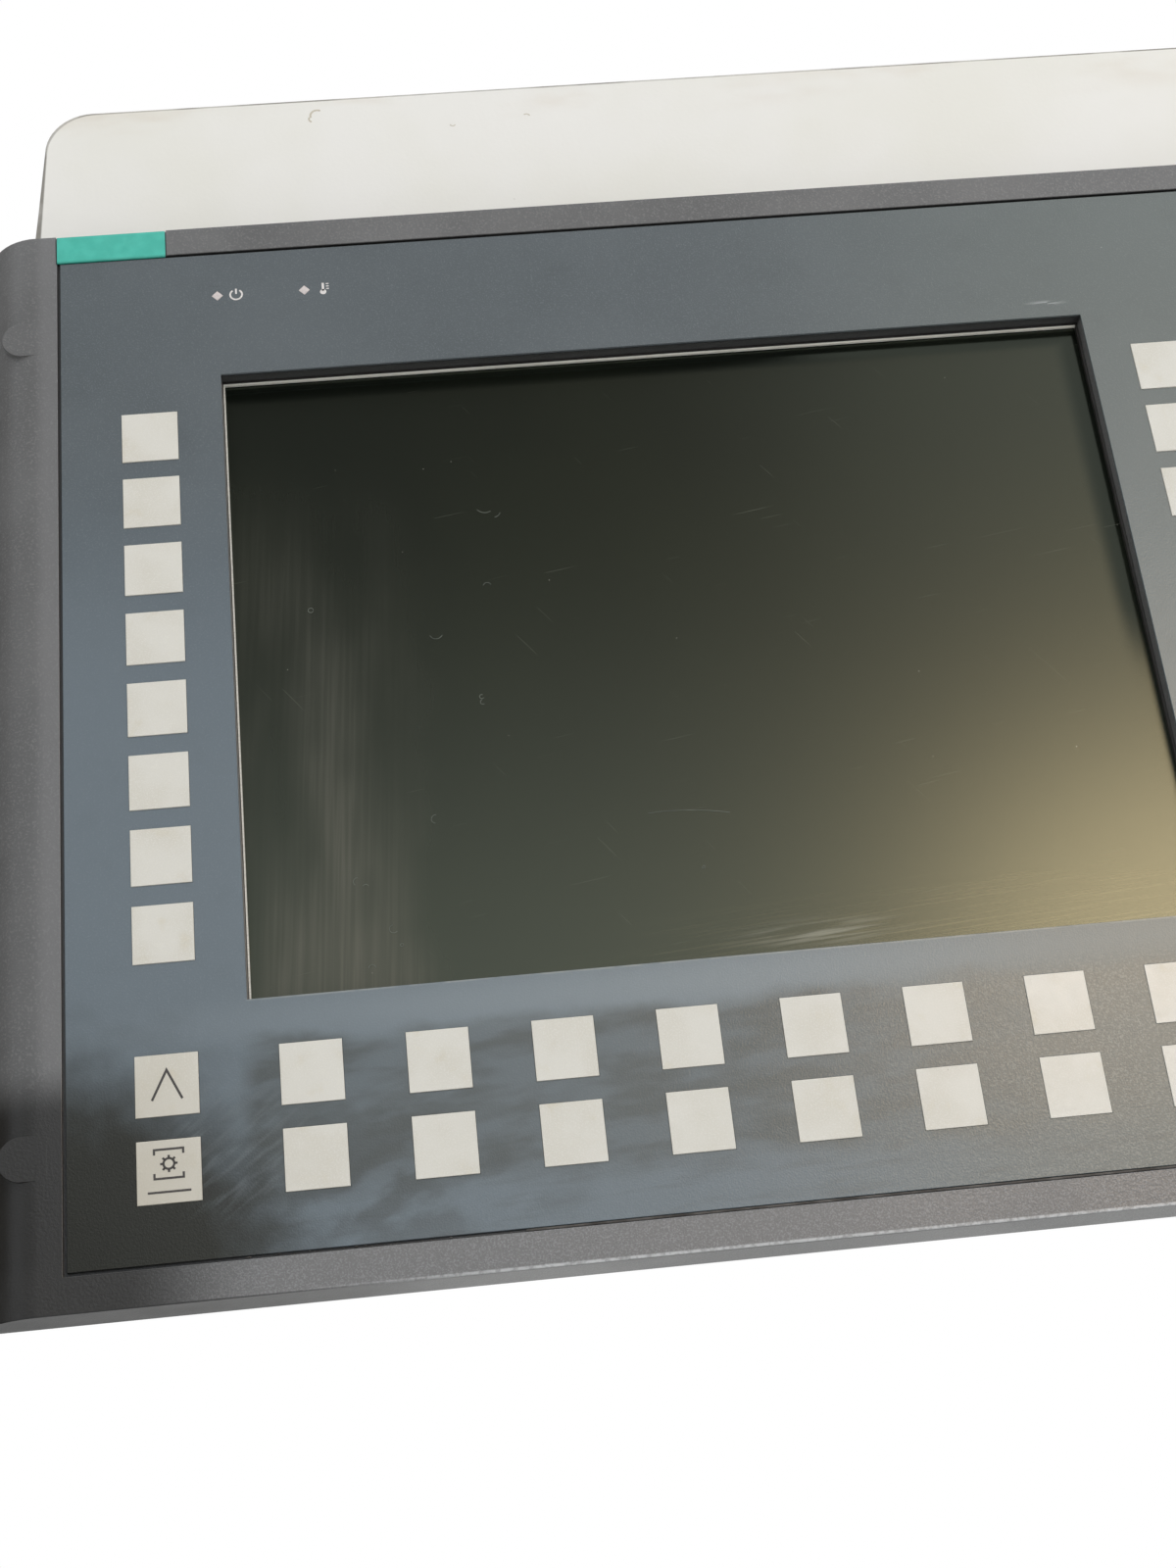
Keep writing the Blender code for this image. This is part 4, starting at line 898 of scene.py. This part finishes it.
def make_plugs():
    """Caps level with the flat front, each with a tongue from the round flank to the flat."""
    for node in nodes_named("screw_plug_"):
        low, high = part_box(node)
        x = (low.x + high.x) / 2
        z = (low.z + high.z) / 2
        top = low.y - PLUG_RISE
        radius = (high.x - low.x) / 2 + PLUG_GROWTH
        outward = 90 if x < 0 else -90
        outline = arc_points(x, z, radius, outward, outward + 180, PLUG_SIDES // 2)
        inner = x - math.copysign(TONGUE_LENGTH, x)
        outline += [(inner, outline[-1][1]), (inner, outline[0][1])]
        bm = bmesh.new()
        loft(bm, [[(a, y, b) for a, b in outline] for y in (top, top + TONGUE_DEPTH)])
        lathe(bm, [(radius, TONGUE_DEPTH), (radius, high.y - top)], (x, top, z))
        new_piece(f"{node}_cap", bm, "bezel_plastic", replaced=[node], smooth=45)


def make_seal():
    """Rubber ring on the display frame that leaves a thin line of steel at the top and left."""
    outer = [-SEAL_REACH] * 4
    top = FRAME_LOW.y - SEAL_RISE
    rings = []
    for insets, y in ((outer, PANE_FRONT), (outer, top), (SEAL_INSETS, top), (SEAL_INSETS, PANE_FRONT)):
        x0 = SCREEN_LEFT + insets[0]
        z0 = SCREEN_BOTTOM + insets[1]
        x1 = SCREEN_RIGHT - insets[2]
        z1 = SCREEN_TOP - insets[3]
        rings.append([(x0, y, z0), (x1, y, z0), (x1, y, z1), (x0, y, z1)])
    bm = bmesh.new()
    loft(bm, rings, looped=True)
    new_piece("display_seal", bm, "seal_rubber")


def make_plate():
    """The sheet, with the rear edges and the upstand's front edges eased."""
    bm = solid_copy("mounting_plate")
    soften(bm, edges_at(bm, PLATE_HIGH.y), PLATE_REAR_EDGE)
    soften(bm, edges_at(bm, PLATE_LOW.y, UPSTAND_FOOT), PLATE_FRONT_EDGE)
    piece = new_piece("plate_painted", bm, "plate_paint", replaced=["mounting_plate"],
                      smooth=40)
    flat_shading(piece)


# Wear: dirt in the groove, fibres on the pane, marks on the plate

def make_groove_bead():
    """Ridge of dirt along the right part of the lower groove, with grains on it."""
    middle = FOIL_LOW.z - GROOVE_WIDTH / 2
    bm = bmesh.new()
    start = FOIL_LOW.x + DIRT_START * (FOIL_HIGH.x - FOIL_LOW.x)
    cuboid(bm, (start, FRONT + DIRT_FRONT, middle - DIRT_HALF),
           (FOIL_HIGH.x, FRONT + DIRT_BACK, middle + DIRT_HALF), DIRT_EDGE)
    for _ in range(GRAIN_COUNT):
        x = random.uniform(FOIL_LOW.x + GRAIN_START, FOIL_HIGH.x)
        y = FRONT + random.uniform(*GRAIN_DEPTHS)
        z = middle + random.uniform(-DIRT_HALF, DIRT_HALF)
        shape = Matrix.Diagonal((random.uniform(*GRAIN_STRETCH), 1.0, 1.0, 1.0))
        bmesh.ops.create_icosphere(bm, subdivisions=1, radius=random.uniform(*GRAIN_RADII),
                                   matrix=Matrix.Translation((x, y, z)) @ shape)
    new_piece("groove_dirt", bm, "groove_dirt", smooth=40)


def make_fibres():
    """Lint on the pane: places from the left and the bottom of the screen, radius and arc."""
    bm = bmesh.new()
    for right, up, radius, start, end in FIBRES:
        points = arc_points(SCREEN_LEFT + right, SCREEN_BOTTOM + up, radius, start, end, 14)
        stroke(bm, points, FIBRE_WIDTH, PANE_FRONT, FIBRE_THICK)
    new_piece("pane_lint", bm, "lint_grey")


def make_plate_marks():
    """Small brown marks on the pale plate: middle in x and z, radius, arc and width."""
    bm = bmesh.new()
    for x, z, radius, start, end, width in PLATE_MARKS:
        stroke(bm, arc_points(x, z, radius, start, end, 10), width, PLATE_LOW.y)
    new_piece("plate_marks", bm, "mark_brown")


# Rear fittings

def rim_places():
    """Rear screws, in x and z: the corners and the middles of the sides."""
    xs = (HOUSING_LOW.x + RIM_INSET, 0.0, HOUSING_HIGH.x - RIM_INSET)
    zs = (HOUSING_LOW.z + RIM_INSET, (HOUSING_LOW.z + HOUSING_HIGH.z) / 2, HOUSING_HIGH.z - RIM_INSET)
    return [(x, z) for x in xs for z in zs if (x, z) != (xs[1], zs[1])]


def stadium(level, half, y):
    right = arc_points(BEAD_RIGHT, level, half, -90, 90, 18)
    left = arc_points(BEAD_LEFT, level, half, 90, 270, 18)
    return [(x, y, z) for x, z in right + left]


def make_housing():
    """The sheet pan, with countersinks, pressed beads and a shallow seat for a bare plate."""
    piece = new_piece("housing_pan", solid_copy("rear_housing"), "housing_zinc", replaced=["rear_housing"],
                      smooth=35)
    bm = bmesh.new()
    for x, z in rim_places():
        lathe(bm, SINK, (x, REAR, z), sides=32)
    for level in BEAD_LEVELS:
        loft(bm, [stadium(level, BEAD_HALF, REAR + CUT_OVER),
                  stadium(level, BEAD_FLOOR_HALF, REAR - BEAD_DEPTH)])
    (x0, z0), (x1, z1) = TAG_LOW, TAG_HIGH
    cuboid(bm, (x0, REAR - TAG_DEPTH, z0), (x1, REAR + CUT_OVER, z1))
    carve(piece, bm)
    bm = bmesh.new()
    cuboid(bm, (x0 + TAG_GAP, REAR - TAG_DEPTH, z0 + TAG_GAP),
           (x1 - TAG_GAP, REAR - TAG_SINK, z1 - TAG_GAP), TAG_EDGE)
    new_piece("housing_tag", bm, "tag_aluminium", smooth=40)


def make_rim_screws():
    """Countersunk heads with cross recesses, each at its own turn."""
    bm = bmesh.new()
    slots = bmesh.new()
    for i, (x, z) in enumerate(rim_places()):
        lathe(bm, HEAD, (x, REAR, z), sides=32)
        rings = []
        for y, shrink in ((REAR + CUT_OVER, 1.0), (REAR - CROSS_DEPTH, CROSS_TAPER)):
            ring = []
            for quarter in range(4):
                turn = Matrix.Rotation(math.radians(CROSS_TURN * i - 90 * quarter), 2)
                for a, b in ((CROSS_HALF, CROSS_ARM), (CROSS_HALF, CROSS_HALF), (CROSS_ARM, CROSS_HALF)):
                    spot = turn @ Vector((a, b)) * shrink
                    ring.append((x + spot.x, y, z + spot.y))
            rings.append(ring)
        loft(slots, rings)
    carve(new_piece("housing_screws", bm, "screw_steel"), slots)


def port_block(bm, x, shape):
    half_x, half_y, low, high, edge = shape
    cuboid(bm, (x - half_x, PORT_Y - half_y, PORT_Z + low),
           (x + half_x, PORT_Y + half_y, PORT_Z + high), edge)


def make_power_port():
    """Three-way terminal header below the housing, with its contacts."""
    bm = bmesh.new()
    port_block(bm, POWER_PORT_X, POWER_BLOCK)
    piece = new_piece("power_port", bm, "terminal_green")
    pockets = bmesh.new()
    pins = bmesh.new()
    for way in (-1, 0, 1):
        x = POWER_PORT_X + way * POWER_PITCH
        port_block(pockets, x, POWER_POCKET)
        port_block(pins, x, POWER_PIN)
    carve(piece, pockets)
    new_piece("power_port_pins", pins, "contact_brass")


def shell_ring(grow, z):
    """Outline of the data port's shell: a trapezium with its corners cut."""
    wide = SHELL_WIDE + grow
    narrow = SHELL_NARROW + grow
    half = SHELL_HALF + grow
    corners = [Vector(c) for c in ((-wide, half), (wide, half), (narrow, -half), (-narrow, -half))]
    ring = []
    for i, corner in enumerate(corners):
        for other in (corners[i - 1], corners[(i + 1) % 4]):
            spot = corner + (other - corner).normalized() * SHELL_CUT
            ring.append((DATA_PORT_X + spot.x, PORT_Y + spot.y, PORT_Z + z))
    return ring


def make_data_port():
    """Nine-way socket: flange, shell, insert with pins, two hexagon posts."""
    bm = bmesh.new()
    port_block(bm, DATA_PORT_X, DATA_FLANGE)
    outside = [shell_ring(0.0, z) for z in SHELL_ENDS]
    loft(bm, outside + [shell_ring(-SHELL_WALL, z) for z in SHELL_ENDS[::-1]])
    new_piece("data_port_shell", bm, "screw_steel", smooth=50)
    bm = bmesh.new()
    loft(bm, [shell_ring(-SHELL_WALL, z) for z in INSERT_ENDS])
    new_piece("data_port_insert", bm, "port_plastic")
    bm = bmesh.new()
    for count, y in DATA_ROWS:
        for i in range(count):
            x = DATA_PORT_X + (i - (count - 1) / 2) * DATA_PITCH
            lathe(bm, DATA_PIN, (x, PORT_Y + y, PORT_Z), "Z", 12)
    new_piece("data_port_pins", bm, "contact_brass", smooth=40)
    bm = bmesh.new()
    for side in (-1, 1):
        lathe(bm, POST, (DATA_PORT_X + side * POST_OFFSET, PORT_Y, PORT_Z), "Z", 6)
    new_piece("data_port_posts", bm, "screw_steel")


def make_plate_fittings():
    """Earth stud with washer and nut, and threaded collars for the mounting screws."""
    bm = bmesh.new()
    lathe(bm, WASHER, STUD_PLACE, sides=40)
    lathe(bm, NUT, STUD_PLACE, sides=6)
    thread = [THREAD_START]
    for i in range(THREAD_TURNS):
        thread += [(radius, along + THREAD_PITCH * i) for radius, along in THREAD_TURN]
    lathe(bm, thread + [THREAD_END], STUD_PLACE, sides=24)
    new_piece("earth_stud", bm, "contact_brass", smooth=35)
    bm = bmesh.new()
    for node in nodes_named("mounting_screw_"):
        low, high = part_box(node)
        place = ((low.x + high.x) / 2, PLATE_HIGH.y, (low.z + high.z) / 2)
        lathe(bm, COLLAR, place, sides=32, looped=True)
    new_piece("plate_collars", bm, "screw_steel", smooth=40)


# Legends

def key_print(name, draw):
    """Ink on one key: draw gets the mesh, the key's middle in x and z, and its front."""
    low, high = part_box(name)
    bm = bmesh.new()
    draw(bm, (low.x + high.x) / 2, (low.z + high.z) / 2, low.y)
    new_piece(f"{name}_sign", bm, "key_ink", body=name, smooth=30)


def arrow_sign(turns):
    """Open arrow head, turned by quarters from pointing up."""
    def draw(bm, x, z, front):
        half = CARET_HEIGHT / 2
        points = [(-CARET_HALF_WIDTH, -half), (0.0, half), (CARET_HALF_WIDTH, -half)]
        for _ in range(turns):
            points = [(b, -a) for a, b in points]
        stroke(bm, [(x + a, z + b) for a, b in points], CARET_STROKE, front)
    return draw


def wheel_sign(bm, x, z, front):
    """A toothed wheel between two brackets, over a short rule."""
    top = z + BRACKET_TOP
    low = z + BRACKET_LOW
    for edge, leg in ((top, -BRACKET_LEG), (low, BRACKET_LEG)):
        points = [(x - BRACKET_HALF_WIDTH, edge + leg), (x - BRACKET_HALF_WIDTH, edge),
                  (x + BRACKET_HALF_WIDTH, edge), (x + BRACKET_HALF_WIDTH, edge + leg)]
        stroke(bm, points, BRACKET_STROKE, front)
    middle = (top + low) / 2
    stroke(bm, arc_points(x, middle, WHEEL_RADIUS, 0, 345, 23), BRACKET_STROKE, front, closed=True)
    for i in range(8):
        turn = math.radians(45 * i)
        spoke = [(x + r * math.cos(turn), middle + r * math.sin(turn)) for r in TOOTH_RADII]
        stroke(bm, spoke, BRACKET_STROKE, front)
    stroke(bm, [(x + side * RULE_HALF, z + RULE_LEVEL) for side in (-1, 1)], BRACKET_STROKE, front)


def page_sign(bm, x, z, front):
    """Three bars of a list."""
    for level in LIST_LEVELS:
        stroke(bm, [(x + side * LIST_HALF, z + level) for side in (-1, 1)], CARET_STROKE, front)


def make_legends():
    key_print("lower_left_key_1", arrow_sign(0))
    key_print("lower_left_key_2", wheel_sign)
    key_print("lower_right_key_1", arrow_sign(1))
    key_print("lower_right_key_2", page_sign)
    bm = bmesh.new()
    (first_x, z), (second_x, _) = lamp_places()
    x = first_x + ICON_OFFSET
    radius = ICON_SIZE / 2
    stroke(bm, arc_points(x, z, radius, 125, 415, 28), ICON_STROKE, FOIL_FRONT)
    stroke(bm, [(x, z + 0.0002), (x, z + radius * 1.2)], ICON_STROKE, FOIL_FRONT)
    x = second_x + ICON_OFFSET
    bulb = [(0.00002, -PRINT_THICK), (ICON_SIZE * 0.27, -PRINT_THICK), (ICON_SIZE * 0.27, 0.0)]
    lathe(bm, bulb, (x, FOIL_FRONT, z - ICON_SIZE * 0.3), sides=24)
    stroke(bm, [(x, z - ICON_SIZE * 0.2), (x, z + ICON_SIZE * 0.6)], ICON_STROKE * 1.4, FOIL_FRONT)
    for level in (0.5, 0.25, 0.0):
        ends = [(x + ICON_SIZE * side, z + ICON_SIZE * level) for side in (0.26, 0.5)]
        stroke(bm, ends, ICON_STROKE * 0.7, FOIL_FRONT)
    new_piece("lamp_signs", bm, "foil_ink")


# Materials of the solids that stay as they are

KEPT_NODES = {
    "display_pane": "pane_glass",
    "display_frame": "display_steel",
    "indicator_light_guide": "light_guide",
    "key_dome_sheet": "dome_film",
    "key_board": "board_laminate",
    "backlight_unit": "backlight_casing",
    "support_plate": "support_steel",
    "interface_board": "board_laminate",
    "backlight_inverter": "board_laminate",
    "ribbon_cable": "ribbon_grey",
    "sealing_gasket": "gasket_foam",
}


def dress_kept_nodes():
    finishes = KEPT_NODES | dict.fromkeys(nodes_named("mounting_screw_"), "screw_steel")
    for name, finish in finishes.items():
        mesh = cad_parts[name].data
        mesh.materials.clear()
        mesh.materials.append(MATERIALS[finish])


# Stage

def area_light(name, place, size, radiance, tint=(1.0, 1.0, 1.0)):
    """Soft box of even brightness, aimed at the middle of the screen."""
    light = bpy.data.lights.new(name, "AREA")
    light.shape = "RECTANGLE"
    light.size, light.size_y = size
    light.energy = radiance * math.pi * size[0] * size[1]
    light.color = tint
    lamp = bpy.data.objects.new(name, light)
    lamp.location = place
    lamp.rotation_mode = "QUATERNION"
    lamp.rotation_quaternion = (SCREEN_MID - place).to_track_quat("-Z", "Y")
    bpy.context.scene.collection.objects.link(lamp)
    return lamp


def in_front(azimuth, elevation):
    """A point seen from the middle of the screen, in degrees right and up."""
    turn = math.radians(azimuth)
    rise = math.radians(elevation)
    flat = math.cos(rise)
    way = Vector((math.sin(turn) * flat, -math.cos(turn) * flat, math.sin(rise)))
    return SCREEN_MID + LAMP_DISTANCE * way


def warm_light(name, across, rise, size, radiance):
    """Warm lamp that shows in reflections alone."""
    place = SCREEN_MID + Vector((across, -WARM_DISTANCE, rise))
    area_light(name, place, size, radiance, WARM_TINT).visible_diffuse = False


def make_lights():
    area_light("key_box", in_front(54.0, 36.0), (1.5, 1.5), 1.25)
    area_light("fill_box", in_front(-34.0, 62.0), (1.8, 1.0), 2.5)
    area_light("front_strip", SCREEN_MID + Vector((0.05, -LAMP_DISTANCE, 0.38)), (2.6, 0.5), 1.9)
    area_light("rear_box", in_front(150.0, 40.0), (1.4, 1.4), 1.6)
    warm_light("warm_box", 0.87, 0.525, (0.6, 0.18), 42.0)
    for rise, radiance in ((0.41, 30.0), (0.32, 15.0)):
        for across in (0.47, 0.60, 0.73):
            warm_light("warm_lamp", across, rise, (0.07, 0.05), radiance)


def make_card(name, corners, finish, casts):
    """Card that shows only in reflections and may shade the panel: corners from the screen's middle."""
    bm = bmesh.new()
    bm.faces.new([bm.verts.new(SCREEN_MID + Vector(corner)) for corner in corners])
    card = add_object(name, bm, finish)
    card.visible_camera = False
    card.visible_diffuse = False
    card.visible_shadow = casts


def upright(x0, z0, x1, z1):
    """Corners of a card that faces the panel."""
    return [(x, -CARD_DISTANCE, z) for x, z in ((x0, z0), (x1, z0), (x1, z1), (x0, z1))]


def card_finish(name, dark, light):
    f = Finish(name, 0.9)
    f.ground(f.noise(0.2), dark, light)
    f.done()


def make_cards():
    card_finish("card_grey", (40, 40, 39), (50, 50, 49))
    card_finish("card_black", (16, 15, 14), (24, 22, 20))
    make_card("upper_card", upright(-1.4, 0.50, 0.26, 2.2), "card_grey", False)
    make_card("lower_card", upright(-1.0, -0.4, -0.22, 0.185), "card_black", True)
    side = [(-1.2, y, z) for y, z in ((-0.5, -0.9), (2.4, -0.9), (2.4, 1.2), (-0.5, 1.2))]
    make_card("side_card", side, "card_grey", False)


def make_world():
    """White for the eye and for reflections, a softer fill for the object."""
    world = bpy.data.worlds.new("studio")
    nodes = Nodes(world)
    background = nodes.tree.nodes["Background"].inputs
    background["Color"].default_value = (1.0, 1.0, 1.0, 1.0)
    path = nodes.node("ShaderNodeLightPath").outputs
    seen = path["Is Camera Ray"]
    for name in ("Is Glossy Ray", "Is Transmission Ray"):
        seen = nodes.math("MAXIMUM", seen, path[name])
    strength = nodes.node("ShaderNodeMapRange", {"Value": seen, "To Min": AMBIENT, "To Max": 1.0})
    nodes.feed(background["Strength"], strength.outputs["Result"])
    bpy.context.scene.world = world


def make_floor():
    f = Finish("floor_pale", 0.7)
    f.ground(f.ramp(f.noise(0.4, 3.0), 0.3, 0.7), (238, 238, 236), (242, 242, 240))
    f.done()
    bm = bmesh.new()
    bmesh.ops.create_grid(bm, x_segments=1, y_segments=1, size=FLOOR_SIZE / 2)
    floor = add_object("floor", bm, "floor_pale")
    floor.location.z = FLOOR_Z


def make_camera():
    data = bpy.data.cameras.new("photo_camera")
    data.sensor_fit = "VERTICAL"
    data.sensor_height = SENSOR_MM
    data.sensor_width = SENSOR_MM
    data.lens = FOCAL_PIXELS / FRAME_PIXELS_HIGH * SENSOR_MM
    camera = bpy.data.objects.new("photo_camera", data)
    turn = Matrix((CAMERA_RIGHT, -CAMERA_DOWN, -CAMERA_FORWARD)).transposed()
    camera.rotation_mode = "QUATERNION"
    camera.rotation_quaternion = turn.to_quaternion()
    camera.location = CAMERA_PLACE
    bpy.context.scene.collection.objects.link(camera)
    bpy.context.scene.camera = camera


make_camera()
make_world()
make_lights()
make_cards()
make_floor()
make_bezel()
make_foil()
for key in nodes_named("_key_"):
    make_key(key)
make_badge()
make_plugs()
make_seal()
make_plate()
make_groove_bead()
make_fibres()
make_plate_marks()
make_housing()
make_rim_screws()
make_power_port()
make_data_port()
make_plate_fittings()
make_legends()
dress_kept_nodes()

bpy.context.scene.view_settings.view_transform = "Standard"
